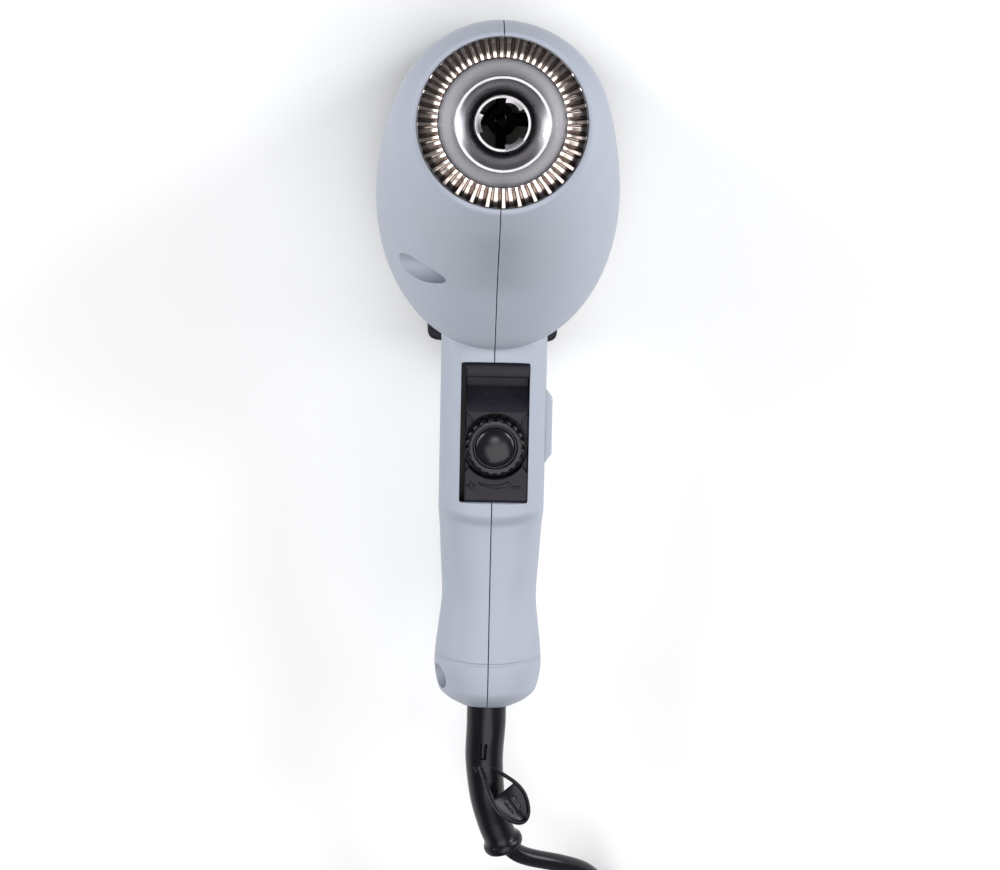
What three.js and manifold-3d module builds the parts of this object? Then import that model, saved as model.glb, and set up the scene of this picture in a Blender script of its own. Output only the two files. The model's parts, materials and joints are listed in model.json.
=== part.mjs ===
// Hot air gun in millimetres. It stands on its rear pads: the nozzle points up (+Z), the handle leads
// away along -Y and the slide switch is on the +X side. Heights are measured from the floor.
import * as THREE from "three";
import { LoftGeometry } from "three/addons/geometries/LoftGeometry.js";
import { mergeVertices } from "three/addons/utils/BufferGeometryUtils.js";
import Module from "manifold-3d";

// Overall sizes
const headLength = 160; // floor to the front lip of the housing
const headHalfWidth = 44.3;
const headTop = 34.6; // nozzle axis to the top of the head
const headLow = 86; // nozzle axis to the lowest point of the egg-shaped head
const handleEnd = 221.6; // nozzle axis to the bottom of the handle
const handleHalfWidth = 19.5;
const handleFront = 85; // height of the handle's front face at the neck
const handleDepth = 42;
const handleLean = 0.0545; // how much the front face drops per millimetre down the handle
const stepTop = 145.2; // nozzle axis to the step under the controls, and to its lower edge
const stepBottom = 150.3;
const grooveAlong = 19.4; // bottom of the handle to the groove round it
const waistShift = 3; // waist below the middle of step and groove

// Housing
const wall = 2.5;
const gap = 0.3;
const halfGap = gap / 2;
const lipRadius = 31;
const rimHeight = 14.3; // where the housing meets the rear cover
const ribThickness = 2.2;
const ribHole = 1.3; // how far the front rib's hole stands off the collar
const ribReach = 70; // nozzle axis to the ribs' lower ends
const leadSlot = 12; // half the width of the ribs' slot for the leads
const postWall = 1.6; // round each screw recess
const farSide = 120; // beyond the gun on any side

// Rear cover and its feet
const coverBottom = 3.5;
const standHalfWidth = 25;
const standEnd = 89;
const padRadius = 4.5;
const padRecess = 1;
const grilleRadius = 21;
const grilleHub = 7.6;
const grilleSlots = 12;
const grilleSlotWidth = 3;

// Nozzle
const boreRadius = 9.8;
const crestRadius = 15.8;
const collarRadius = 22;
const collarRise = 13; // crest above the housing's lip
const crestLand = 0.5;
const shieldRadius = 29;
const shieldWaves = 32;
const shieldHeight = 8.7;
const shieldWaveDepth = 5.5;
const discRadius = shieldRadius + 1.6;
const discThickness = 1.4;
const tabReach = 2.6;
const tabArc = Math.PI / 4;

// Heater
const tubeRadius = 20.6;
const tubeWall = 0.8;
const micaWall = 0.6;
const micaRadius = tubeRadius - tubeWall - 0.6;
const coreReach = micaRadius - micaWall - 2.1;
const coreArm = 1.4; // half the thickness of the ceramic cross's arms
const coreHub = 5;
const probeRadius = 1.6;
const wireRadius = 0.45;
const wireTurns = 5;

// Fan and motor
const ductRadius = 26;
const ductWall = 1.4;
const ductStart = 22;
const ductCone = 60;
const ductEnd = 88;
const fanClearance = 0.9;
const fanBlades = 9;
const fanBase = 30;
const fanHubRadius = 9;
const fanHeight = 12;
const bladePitch = 0.61;
const statorVanes = 7;
const motorRadius = 13.5;
const motorBase = 48;
const motorLength = 28;
const shaftRadius = 1.15;
const commutatorRadius = 3.6;
const brushLength = 3.5;
const brushHalfWidth = 1.2;
const bearingRadius = 3.2;
const runningClearance = 0.08;

// Controls, measured from the dial's centre
const dialRadius = 11;
const dialFromAxis = 120.7;
const dialFlutes = 20;
const fluteDepth = 0.7;
const domeRadius = 7.5;
const controlsShift = 0.8;
const bezelAbove = 31;
const bezelBelow = 20.7;
const bezelDepth = 9;
const openingSlack = 0.6;
const axleRadius = 3;
const axleDepth = 15; // under the control face
const potHalf = 5.5;
const boardHeight = 58;
const boardThickness = 1.6;
const boardStart = 91; // nozzle axis to the board's nearer and farther ends
const boardEnd = 146;
const buttonLength = 26.4;
const buttonFlat = 20.1;
const buttonWidth = 14;
const buttonProud = 1.9;
const buttonHeight = 63;
const buttonFromAxis = 114.6;
const buttonTravel = 3; // each way from the middle position
const stemHalfLength = 4;
const stemHalfHeight = 2;

// Screws
const screwRadius = 1.5;
const screwHeadRadius = 3.1;
const screwHeadHeight = 2.2;
const screwReach = 9; // past the seam
const bossRadius = 3.2;

// Cord
const cordRadius = 3.5;
const boreSlack = 0.6;
const exitBelowFront = 24.1;
const clampSpread = 7; // cord centre to each clamp screw
const clampThickness = 3.4;
const clampHalfWidth = 3;
const clampEdge = 3; // past each clamp screw
const clampFace = cordRadius - 1.2;
const clampPostRadius = 2.8;
const clampPilotDepth = 11; // past the seam
const saddleRise = 5.5; // half the height of the block the cord lies on
const reliefRadius = 7.5;
const reliefWaist = 6.3;
const reliefLip = 7.7;
const flangeReach = 2.5;
const flangeThickness = 3;
const leafThickness = 2.2;
const leadRadius = 1.1;
const coilRadius = 40.5;
const coilHalfWidth = 10.6;
const coilHeight = 15;
const coilEdge = 4; // rounding of the bundle's edges
const coilBearing = 1.02; // where the cord meets the coil, as an angle from +X
const coilAlong = 133; // bottom of the handle to the coil's middle
const coilAside = 22;
const tieHalfWidth = 3;
const plugPinRadius = 2;
const plugLength = 36;
const plugHalfWidth = 13;
const plugHeight = 17;
const plugBoot = 12;
const bootHalfWidth = 4.5;
const bootHeight = 11.5;
const plugTaper = 8;
const pinSpread = 8; // plug's middle to each pin
const pinSeat = 6;
const pinLength = 17;
const plugPlace = [-14, -24]; // from the coil's middle

const fullTurn = Math.PI * 2;
const up = new THREE.Vector3(0, 0, 1);
const v = (x, y, z) => new THREE.Vector3(x, y, z);

const wasm = await Module();
wasm.setup();

// A three.js geometry as a solid that can be added to and cut.
function solid(geometry) {
  const loose = geometry.index ? geometry.toNonIndexed() : geometry;
  const bare = new THREE.BufferGeometry();
  bare.setAttribute("position", loose.getAttribute("position"));
  const merged = mergeVertices(bare, 1e-4);
  return new wasm.Manifold(
    new wasm.Mesh({
      numProp: 3,
      vertProperties: merged.attributes.position.array,
      triVerts: new Uint32Array(merged.index.array),
    }),
  );
}

// A finished solid as a three.js geometry again.
function surface(made) {
  const mesh = made.getMesh();
  const geometry = new THREE.BufferGeometry();
  geometry.setAttribute("position", new THREE.BufferAttribute(new Float32Array(mesh.vertProperties), 3));
  geometry.setIndex(new THREE.BufferAttribute(new Uint32Array(mesh.triVerts), 1));
  return geometry;
}

const add = (...parts) => parts.reduce((whole, part) => whole.add(part));
const cut = (whole, ...parts) => parts.reduce((rest, part) => rest.subtract(part), whole);

// Basic bodies, placed by their limits.
function box(x0, x1, y0, y1, z0, z1) {
  const block = new THREE.BoxGeometry(x1 - x0, y1 - y0, z1 - z0);
  return block.translate((x0 + x1) / 2, (y0 + y1) / 2, (z0 + z1) / 2);
}

function rodZ(radius, z0, z1, x = 0, y = 0, sides = 24) {
  const rod = new THREE.CylinderGeometry(radius, radius, z1 - z0, sides);
  return rod.rotateX(Math.PI / 2).translate(x, y, (z0 + z1) / 2);
}

function rodX(radius, x0, x1, y, z, sides = 14) {
  const rod = new THREE.CylinderGeometry(radius, radius, x1 - x0, sides);
  return rod.rotateZ(-Math.PI / 2).translate((x0 + x1) / 2, y, z);
}

// A closed outline of radius and height turned round the Z axis, whichever way the outline is listed.
function turned(outline, sides = 32) {
  const points = outline.map(([radius, height]) => new THREE.Vector2(radius, height));
  if (THREE.ShapeUtils.area(points) < 0) points.reverse();
  points.push(points[0].clone());
  return new THREE.LatheGeometry(points, sides).rotateX(Math.PI / 2);
}

const ring = (inner, outer, z0, z1, sides = 32) =>
  turned([[inner, z0], [outer, z0], [outer, z1], [inner, z1]], sides);

function prism(shape, z0, z1, curveSegments = 12) {
  const body = new THREE.ExtrudeGeometry(shape, { depth: z1 - z0, bevelEnabled: false, curveSegments });
  return body.translate(0, 0, z0);
}

const outlineOf = (points) => new THREE.Shape(points.map(([x, y]) => new THREE.Vector2(x, y)));

function tube(points, radius, steps, sides) {
  const round = new THREE.Shape().absarc(0, 0, radius, 0, fullTurn);
  const path = new THREE.CatmullRomCurve3(points, false, "centripetal");
  // A full circle gets two sides for every curve segment.
  return new THREE.ExtrudeGeometry(round, { steps, extrudePath: path, curveSegments: sides / 2 });
}

// A point of a rounded outline: cosine and sine raised to 2/power, so 2 is an ellipse and more is squarer.
const rounded = (part, power) => Math.sign(part) * Math.abs(part) ** (2 / power);

// The egg outline at one station of the head.
function egg({ height, half, widest, top, low }, inset, sides = 32) {
  const points = [];
  for (let i = 0; i < sides; i++) {
    const angle = (i / sides) * fullTurn;
    const above = Math.sin(angle) > 0;
    const power = above ? 2.1 : 2;
    const reach = above ? top - inset - widest : widest - low - inset;
    const x = (half - inset) * rounded(Math.cos(angle), power);
    points.push(v(x, widest + reach * rounded(Math.sin(angle), power), height));
  }
  return points;
}

// Stations from the rear rim to the lip: the head grows, then closes round the nozzle.
function headStations() {
  const spread = (share) => lipRadius + share * (headHalfWidth - lipRadius);
  const rise = (share) => lipRadius + share * (headTop - lipRadius);
  const drop = (share) => -lipRadius - share * (headLow - lipRadius);
  const at = (share, half, widest, top, low) => ({
    height: rimHeight + share * (headLength - rimHeight),
    half: spread(half),
    widest,
    top: rise(top),
    low: drop(low),
  });
  return [
    at(0, 0.78, -24, 0.4, 0.8),
    at(0.14, 0.93, -27, 0.7, 0.93),
    at(0.35, 1, -28.5, 0.85, 1),
    at(0.49, 0.98, -27.5, 0.9, 0.975),
    at(0.57, 0.93, -24.5, 0.97, 0.79),
    at(0.66, 0.84, -19.5, 1, 0.54),
    at(0.8, 0.66, -9.5, 0.99, 0.31),
    at(0.92, 0.46, -2.5, 0.85, 0.155),
    at(1, 0, 0, 0, 0),
  ];
}

// The head between two stations, pulled in by an inset; start and end stretch the first and last outline.
function headLoft(inset, startHeight, endHeight) {
  const stations = headStations();
  const kept = stations.filter((s) => s.height > startHeight && s.height < endHeight);
  const between = (height) => {
    const after = Math.max(1, stations.findIndex((s) => s.height >= height));
    const [a, b] = [stations[after - 1], stations[after]];
    const share = (height - a.height) / (b.height - a.height);
    const mix = (key) => a[key] + share * (b[key] - a[key]);
    return { height, half: mix("half"), widest: mix("widest"), top: mix("top"), low: mix("low") };
  };
  const all = [between(startHeight), ...kept, between(endHeight)];
  return new LoftGeometry(all.map((s) => egg(s, inset)), { capStart: true, capEnd: true });
}

const grooveTop = handleEnd - grooveAlong;

// Stations down the handle: distance from the axis, half width, height of front and rear, roundness.
function handleStations() {
  const front = (along) => handleFront - handleLean * (along - headLow);
  const rear = (along) => handleFront - handleDepth - handleLean * (along - headLow);
  const waist = (stepBottom + grooveTop) / 2 + waistShift;
  const at = (along, half, sink, lift, power) => ({
    along,
    half: handleHalfWidth + half,
    front: front(along) - sink,
    rear: rear(along) + lift,
    power,
  });
  return [
    at(60, 0, 0, 0, 4.5),
    at(stepTop, 0, 0, 0, 4.5),
    at(stepBottom, -0.4, 2.6, 0, 3.6),
    at((stepBottom + waist) / 2, -1.2, 4.6, 0.4, 3),
    at(waist, -1.9, 5.6, 0.8, 2.6),
    at((waist + grooveTop) / 2, -0.8, 5.1, 0, 2.6),
    at(grooveTop, 0.4, 4, -1.2, 2.6),
    at(grooveTop + 0.5, -0.1, 4.5, -0.7, 2.6),
    at(grooveTop + 1.3, -0.1, 4.5, -0.7, 2.6),
    at(grooveTop + 1.8, 0.5, 3.9, -1.3, 2.6),
    at(handleEnd - 6.8, -1.2, 5.3, 0.2, 2.6),
    at(handleEnd - 3.4, -4.4, 7.8, 3, 2.6),
    at(handleEnd, -10, 14, 8.6, 2.4),
  ];
}

function handleSection({ along, half, front, rear, power }, inset, sides = 20) {
  const points = [];
  const middle = (front + rear) / 2;
  for (let i = 0; i < sides; i++) {
    const angle = (i / sides) * fullTurn;
    const x = (half - inset) * rounded(Math.cos(angle), power);
    const z = middle + ((front - rear) / 2 - inset) * rounded(Math.sin(angle), power);
    points.push(v(x, -along, z));
  }
  return points;
}

function handleLoft(inset, plain) {
  const stations = handleStations();
  const last = stations[stations.length - 1];
  const used = plain ? stations.filter((s) => s.along < grooveTop || s.along > grooveTop + 2) : stations;
  const shortened = used.map((s) => (s === last ? { ...s, along: s.along - inset } : s));
  return new LoftGeometry(shortened.map((s) => handleSection(s, inset)), { capStart: true, capEnd: true });
}

// Where the case screws go: distance from the axis along Y, height, recess radius and the recess floor.
const frontScrewHeight = headLength * 0.66;
const caseScrews = [
  { name: "case_screw_head_front", y: -54, z: frontScrewHeight, well: 5.3, floor: 13 },
  { name: "case_screw_head_top", y: headTop - 6.6, z: 75, well: 3.6, floor: 12 },
  { name: "case_screw_head_rear", y: -60, z: 31, well: 4.6, floor: 14 },
  { name: "case_screw_grip", y: -(stepBottom + 9), z: 47, well: 4.6, floor: 9 },
  { name: "case_screw_cap", y: -(handleEnd - 12), z: 64, well: 4.6, floor: 9 },
];

// The cord's own line from inside the handle through its sleeve, and on to the coil on the floor.
const exitHeight = handleFront - handleLean * (handleEnd - headLow) - exitBelowFront;
const reliefLine = [
  v(0, -(handleEnd - 8), exitHeight),
  v(0, -(handleEnd + 6), exitHeight),
  v(-0.5, -(handleEnd + 20), exitHeight - 2),
  v(0.6, -(handleEnd + 34), exitHeight - 4.6),
  v(3.2, -(handleEnd + 46), exitHeight - 8),
  v(8.3, -(handleEnd + 58.6), exitHeight - 12),
];
const coilCentre = v(coilAside, -(handleEnd + coilAlong), 0);
const clampAlong = handleEnd - 21.6;

const controls = {
  x: controlsShift,
  y: -dialFromAxis,
  z: handleFront - handleLean * (dialFromAxis - headLow) - 0.4,
};
const bezelHalfWidth = dialRadius + 0.5;

// The egg outline at the rear rim, pulled in by an inset.
const rimOutline = (inset) => outlineOf(egg(headStations()[0], inset).map((p) => [p.x, p.y]));

// The whole housing before it is parted: hollow head and handle with ribs, screw posts and openings.
function housing() {
  const outer = add(solid(headLoft(0, rimHeight, headLength)), solid(handleLoft(0)));
  const cavityEnd = headLength - shieldHeight;
  const hollow = add(
    solid(headLoft(wall, rimHeight, cavityEnd)),
    solid(prism(rimOutline(wall), rimHeight - 1, rimHeight + 0.5)),
    solid(handleLoft(wall, true)),
  );
  const inner = solid(headLoft(wall - 0.5, rimHeight + 0.5, cavityEnd));
  const rib = (z, hole) =>
    cut(
      inner.intersect(solid(box(-farSide, farSide, -ribReach, farSide, z, z + ribThickness))),
      solid(rodZ(hole, z - 1, z + ribThickness + 1)),
      solid(box(-leadSlot, leadSlot, -farSide, -hole + 4, z - 1, z + ribThickness + 1)),
    );
  const posts = [];
  const holes = [];
  for (const { y, z, well, floor } of caseScrews) {
    posts.push(solid(rodX(well + postWall, -farSide, -floor + 2, y, z)));
    posts.push(solid(rodX(bossRadius, -floor, farSide, y, z)));
    holes.push(solid(rodX(well, -farSide, -floor, y, z)));
    holes.push(solid(rodX(screwRadius + gap, -floor - 1, screwReach + 1.5, y, z, 12)));
  }
  const shell = cut(outer, hollow);
  const stiffened = add(
    shell,
    rib(ductCone + 2, ductRadius + gap),
    rib(cavityEnd - discThickness - 2 * gap - ribThickness, collarRadius + ribHole),
    add(...posts).intersect(outer),
  );
  const reliefHole = new THREE.CylinderGeometry(reliefRadius + gap, reliefRadius + gap, 20, 24);
  return cut(
    stiffened,
    ...holes,
    solid(rodZ(shieldRadius + gap, cavityEnd - 0.5, headLength + 1, 0, 0, 48)),
    solid(rodZ(discRadius + gap, cavityEnd - discThickness - 2 * gap, cavityEnd, 0, 0, 40)),
    solid(reliefHole.translate(0, -handleEnd, exitHeight)),
    controlsOpening(),
  );
}

function controlsOpening() {
  const half = bezelHalfWidth + openingSlack;
  const block = box(-half, half, -bezelBelow - openingSlack, bezelAbove + openingSlack, -6, 12);
  return solid(block.rotateX(handleLean).translate(controls.x, controls.y, controls.z));
}

// Everything between two distances from the seam.
const halfSpace = (x0, x1) => box(x0, x1, -handleEnd - farSide, farSide, -1, headLength + farSide);

function leftShell() {
  const half = housing().intersect(solid(halfSpace(-farSide, -halfGap)));
  const saddle = box(
    -handleHalfWidth + 1.5, -cordRadius - boreSlack,
    -clampAlong - clampHalfWidth, -clampAlong + clampHalfWidth,
    exitHeight - saddleRise, exitHeight + saddleRise,
  );
  const beside = (radius, from, to) =>
    [-1, 1].map((side) => solid(rodX(radius, from, to, -clampAlong, exitHeight + side * clampSpread, 12)));
  const posts = beside(clampPostRadius, -handleHalfWidth + 4, clampFace);
  const pilots = beside(screwRadius + gap, -clampPilotDepth, clampFace + 6);
  return cut(add(half, solid(saddle), ...posts), ...pilots);
}

function rightShell() {
  const half = housing().intersect(solid(halfSpace(halfGap, farSide)));
  const slotHalf = stemHalfLength + buttonTravel + 0.5;
  const slot = box(
    handleHalfWidth - 4, handleHalfWidth + 4,
    -buttonFromAxis - slotHalf, -buttonFromAxis + slotHalf,
    buttonHeight - stemHalfHeight - 0.4, buttonHeight + stemHalfHeight + 0.4,
  );
  return cut(half, solid(slot));
}

// Rear cover: an egg-shaped cup with a stand bar at its lower end, a spigot and radial air slots.
function rearCover() {
  const shape = rimOutline;
  const top = rimHeight - gap;
  const floor = coverBottom + 2.4;
  const cup = cut(solid(prism(shape(0), coverBottom, top)), solid(prism(shape(wall), floor, top + 1)));
  const spigot = cut(
    solid(prism(shape(wall + gap), floor - 1, top + 3)),
    solid(prism(shape(wall + 1.8), floor, top + 4)),
    solid(box(-14, 14, 0, 50, floor + 4, top + 4)),
  );
  const bar = box(-standHalfWidth, standHalfWidth, -standEnd, -standEnd + 26, coverBottom, top - 1);
  const slots = [];
  for (let i = 0; i < grilleSlots; i++) {
    const slot = box(grilleHub, grilleRadius, -grilleSlotWidth / 2, grilleSlotWidth / 2, 0, floor + 1);
    slots.push(solid(slot.rotateZ((i / grilleSlots) * fullTurn)));
  }
  const recesses = padPlaces().map(([x, y]) =>
    solid(rodZ(padRadius + gap, 0, coverBottom + padRecess, x, y, 16)),
  );
  const inside = solid(prism(shape(wall), floor, top + 1));
  const body = add(cut(add(cup, solid(bar)), inside), spigot);
  return cut(body, ...slots, ...recesses);
}

const padPlaces = () => [
  [-16, 21],
  [16, 21],
  [-19, -standEnd + 7],
  [19, -standEnd + 7],
];

const pad = ([x, y]) => rodZ(padRadius, 0, coverBottom + padRecess - gap, x, y, 16);

// Pleated steel ring: flat crests and valleys alternate round the nozzle.
function heatShieldRing() {
  const inner = collarRadius + gap;
  const thickness = 0.7;
  const sections = [];
  const steps = shieldWaves * 4;
  const level = [1, 1, 0, 0];
  const share = [0.02, 0.3, 0.5, 0.82];
  for (let i = 0; i < steps; i++) {
    const wave = Math.floor(i / 4);
    const angle = ((wave + share[i % 4]) / shieldWaves) * fullTurn;
    const top = headLength - (1 - level[i % 4]) * shieldWaveDepth;
    const [c, s] = [Math.cos(angle), Math.sin(angle)];
    const corner = (radius, z) => v(radius * c, radius * s, z);
    sections.push([
      corner(inner, top),
      corner(shieldRadius, top),
      corner(shieldRadius, top - thickness),
      corner(inner, top - thickness),
    ]);
  }
  sections.push(sections[0]);
  return new LoftGeometry(sections);
}

const discTop = headLength - shieldHeight - gap;
const heatShieldDisc = () => ring(collarRadius + gap, discRadius, discTop - discThickness, discTop, 40);

// Steel nozzle collar: a cone up to a narrow crest, a countersink, the bore and a rear skirt.
function nozzleCollar() {
  const crest = headLength + collarRise;
  return turned([
    [boreRadius, headLength],
    [boreRadius, crest - 5],
    [crestRadius - crestLand, crest],
    [crestRadius + crestLand, crest],
    [collarRadius, headLength + 3],
    [collarRadius, headLength - 12],
    [tubeRadius + gap, headLength - 12],
    [tubeRadius + gap, headLength - 3.4],
    [boreRadius + 6, headLength - 3.4],
  ], 40);
}

// Ring pressed in the bore, with three tabs that reach inwards.
function tabRing() {
  const outer = boreRadius - gap;
  const [z0, z1] = [headLength + 0.5, headLength + 5.5];
  const body = solid(ring(outer - 0.8, outer, z0, z1, 24));
  const tabs = [1, 3, 5].map((third) => {
    const middle = (third / 6) * fullTurn;
    const shape = new THREE.Shape();
    shape.absarc(0, 0, outer - 0.3, middle - tabArc / 2, middle + tabArc / 2);
    shape.absarc(0, 0, boreRadius - tabReach, middle + tabArc * 0.36, middle - tabArc * 0.36, true);
    return solid(prism(shape, z1 - 1, z1, 3));
  });
  return surface(add(body, ...tabs));
}

const tubeEnd = headLength - 4;
const heaterStart = ductEnd + 6;
const heaterEnd = headLength - 14;

// Ceramic cross with a drilled hub, which carries the heating wire.
function ceramicCore() {
  const arm = (turn) =>
    solid(box(-coreReach, coreReach, -coreArm, coreArm, heaterStart, heaterEnd).rotateZ(turn));
  const hub = solid(rodZ(coreHub, heaterStart, heaterEnd, 0, 0, 16));
  const hole = solid(rodZ(probeRadius + 1, heaterStart - 1, heaterEnd + 1, 0, 0, 12));
  return surface(cut(add(arm(0), arm(Math.PI / 2), hub), hole));
}

function heatingCoil() {
  const points = [];
  const perTurn = 12;
  const radius = (coreReach + micaRadius - micaWall) / 2;
  const [low, high] = [heaterStart + 4, heaterEnd - 4];
  for (let i = 0; i <= wireTurns * perTurn; i++) {
    const share = i / (wireTurns * perTurn);
    const angle = share * wireTurns * fullTurn;
    points.push(v(radius * Math.cos(angle), radius * Math.sin(angle), low + share * (high - low)));
  }
  return tube(points, wireRadius, wireTurns * perTurn, 6);
}

// Fan duct: a tapering tube with the motor's cradle held by fixed vanes.
function fanDuct() {
  const inner = ductRadius - ductWall;
  const endInner = tubeRadius + 0.4;
  const skin = solid(turned([
    [ductRadius, ductStart],
    [ductRadius, ductCone],
    [endInner + ductWall, ductEnd],
    [endInner, ductEnd],
    [inner, ductCone],
    [inner, ductStart],
  ], 40));
  const cradle = solid(ring(motorRadius + gap, motorRadius + 1.7, motorBase + 2, motorBase + 18, 28));
  const vanes = [];
  for (let i = 0; i < statorVanes; i++) {
    const vane = box(motorRadius + 1, inner + 0.5, -0.6, 0.6, motorBase + 3, ductCone - 0.5);
    vanes.push(solid(vane.rotateZ((i / statorVanes) * fullTurn)));
  }
  return surface(add(skin, cradle, ...vanes));
}

// Axial fan: a hub with pitched blades.
function impeller() {
  const tip = ductRadius - ductWall - fanClearance;
  const hub = solid(rodZ(fanHubRadius, fanBase, fanBase + fanHeight, 0, 0, 24));
  const blades = [];
  for (let i = 0; i < fanBlades; i++) {
    const blade = new THREE.BoxGeometry(tip - fanHubRadius, 1.1, fanHeight);
    blade.rotateX(bladePitch).translate((tip + fanHubRadius) / 2 - 0.8, 0, fanBase + fanHeight / 2);
    blades.push(solid(blade.rotateZ((i / fanBlades) * fullTurn)));
  }
  const bore = solid(rodZ(shaftRadius + gap, fanBase - 5, fanBase + fanHeight + 5, 0, 0, 12));
  return surface(cut(add(hub, ...blades), bore));
}

const motorTop = motorBase + motorLength;

const motorCan = () => turned([
  [bearingRadius + gap, motorBase],
  [motorRadius, motorBase],
  [motorRadius, motorTop - gap],
  [motorRadius - 0.9, motorTop - gap],
  [motorRadius - 0.9, motorBase + 1.5],
  [bearingRadius + gap, motorBase + 1.5],
]);

function magnet(side) {
  const outer = motorRadius - 1.2;
  const shape = new THREE.Shape();
  const [from, to] = [side + 0.35, side + Math.PI - 0.35];
  shape.absarc(0, 0, outer, from, to);
  shape.absarc(0, 0, outer - 2.2, to, from, true);
  return prism(shape, motorBase + 4, motorTop - 5, 8);
}

// Armature: five wound poles round the shaft.
function armature() {
  const poles = 5;
  const outer = motorRadius - 4.3;
  const [z0, z1] = [motorBase + 6, motorTop - 7];
  const slots = [];
  for (let i = 0; i < poles; i++) {
    slots.push(solid(box(outer * 0.55, outer + 1, -1, 1, z0 - 1, z1 + 1).rotateZ((i / poles) * fullTurn)));
  }
  const bore = solid(rodZ(shaftRadius + gap, z0 - 1, z1 + 1, 0, 0, 12));
  return surface(cut(solid(rodZ(outer, z0, z1, 0, 0, 25)), bore, ...slots));
}

const motorShaft = () => rodZ(shaftRadius, fanBase - 2, motorTop + 4, 0, 0, 16);
const bearing = (z) => ring(shaftRadius + runningClearance, bearingRadius, z, z + 2.6, 16);

// Side profile of the bezel from its lower end to its upper end, drawn across the handle and then cut.
function dialBezel() {
  const profile = [
    [-bezelBelow, -bezelDepth],
    [bezelAbove, -bezelDepth],
    [bezelAbove, -0.3],
    [bezelAbove - 1.4, 0.3],
    [bezelAbove - 2.8, -0.2],
    [bezelAbove - 4.2, -1.9],
    [bezelAbove - 7, -3],
    [bezelAbove - 10.5, -3.3],
    [bezelAbove - 14, -2.2],
    [bezelAbove - 17, -0.6],
    [-bezelBelow + 8, -0.8],
    [-bezelBelow + 7.4, -0.4],
    [-bezelBelow, -0.4],
  ];
  const body = prism(outlineOf(profile), -bezelHalfWidth, bezelHalfWidth);
  // The outline is drawn as (along, out); this turn puts along on Y, out on Z and the width on X.
  body.applyMatrix4(new THREE.Matrix4().makeBasis(v(0, 1, 0), v(0, 0, 1), v(1, 0, 0)));
  const well = solid(rodZ(dialRadius + 1.1, -6.2, 10, 0, 0, 40));
  const hole = solid(rodZ(axleRadius + 0.5, -20, 10, 0, 0, 20));
  return surface(cut(solid(body), well, hole));
}

// Dial: a fluted rim, a dished face and a raised dome.
function temperatureDial() {
  const points = [];
  const steps = dialFlutes * 2;
  for (let i = 0; i < steps; i++) {
    const angle = (i / steps) * fullTurn;
    const radius = dialRadius - (i % 2) * fluteDepth;
    points.push([radius * Math.cos(angle), radius * Math.sin(angle)]);
  }
  const rim = solid(prism(outlineOf(points), -5.8, 1.2));
  const dish = solid(ring(domeRadius, domeRadius + 1.6, 0.4, 3, 24));
  const dome = solid(turned([
    [0, 0],
    [domeRadius, 0],
    [domeRadius, 1.6],
    [domeRadius * 0.7, 2.4],
    [0, 2.8],
  ], 24));
  const socket = solid(rodZ(axleRadius + gap, -8, -1.5, 0, 0, 16));
  return surface(cut(add(cut(rim, dish), dome), socket));
}

const potFloor = boardHeight + boardThickness + gap;

// Slide button: a sloped thumb plate outside the handle and a stem through the slot.
function switchButton() {
  const base = handleHalfWidth + gap;
  const shape = outlineOf([
    [base, -buttonLength / 2],
    [base + buttonProud, -buttonFlat / 2],
    [base + buttonProud, buttonFlat / 2],
    [base, buttonLength / 2],
  ]);
  const plate = solid(prism(shape, -buttonWidth / 2, buttonWidth / 2));
  const stem = solid(box(
    handleHalfWidth - 8.4, base + 0.5,
    -stemHalfLength, stemHalfLength,
    -stemHalfHeight, stemHalfHeight,
  ));
  return surface(add(plate, stem));
}

function powerSwitch() {
  const face = handleHalfWidth - 6;
  const slide = stemHalfLength + buttonTravel + 0.5;
  const body = solid(box(face - 6.5, face, -slide - 3, slide + 3, potFloor, buttonHeight + 5));
  const groove = solid(box(
    face - 3, face + 1,
    -slide, slide,
    buttonHeight - stemHalfHeight - 0.4, buttonHeight + stemHalfHeight + 0.4,
  ));
  return surface(cut(body, groove)).translate(0, -buttonFromAxis, 0);
}

function cordClamp() {
  const face = clampFace + gap;
  const bar = solid(box(
    face, face + clampThickness,
    -clampHalfWidth, clampHalfWidth,
    -clampSpread - clampEdge, clampSpread + clampEdge,
  ));
  const groove = new THREE.CylinderGeometry(cordRadius + gap, cordRadius + gap, 12, 16);
  const holes = [-clampSpread, clampSpread].map((z) =>
    solid(rodX(screwRadius + gap, face - 1, face + clampThickness + 1, 0, z, 12)),
  );
  const body = cut(bar, solid(groove.translate(-0.2, 0, 0)), ...holes);
  return surface(body).translate(0, -clampAlong, exitHeight);
}

// A pan-head screw along +X whose head rests on x = floor.
function screw(reach, y, z, floor) {
  const top = floor - screwHeadHeight;
  const head = solid(rodX(screwHeadRadius, top, floor, y, z, 12));
  const shank = solid(rodX(screwRadius, floor - 0.5, reach, y, z, 8));
  const drive = solid(box(top - 1, top + 1, y - 2, y + 2, z - 0.4, z + 0.4));
  return surface(cut(add(head, shank), drive));
}

// Round sections square to a path, for a sleeve whose radius changes.
function sleeve(path, radii, sides) {
  const rows = radii.map(([share, radius]) => {
    const centre = path.getPointAt(share);
    const along = path.getTangentAt(share);
    const side = new THREE.Vector3().crossVectors(up, along).normalize();
    const lift = new THREE.Vector3().crossVectors(along, side).normalize();
    const points = [];
    for (let i = 0; i < sides; i++) {
      const angle = (i / sides) * fullTurn;
      const out = side.clone().multiplyScalar(radius * Math.cos(angle));
      points.push(centre.clone().add(out).add(lift.clone().multiplyScalar(radius * Math.sin(angle))));
    }
    return points;
  });
  return solid(new LoftGeometry(rows, { capStart: true, capEnd: true }));
}

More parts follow.
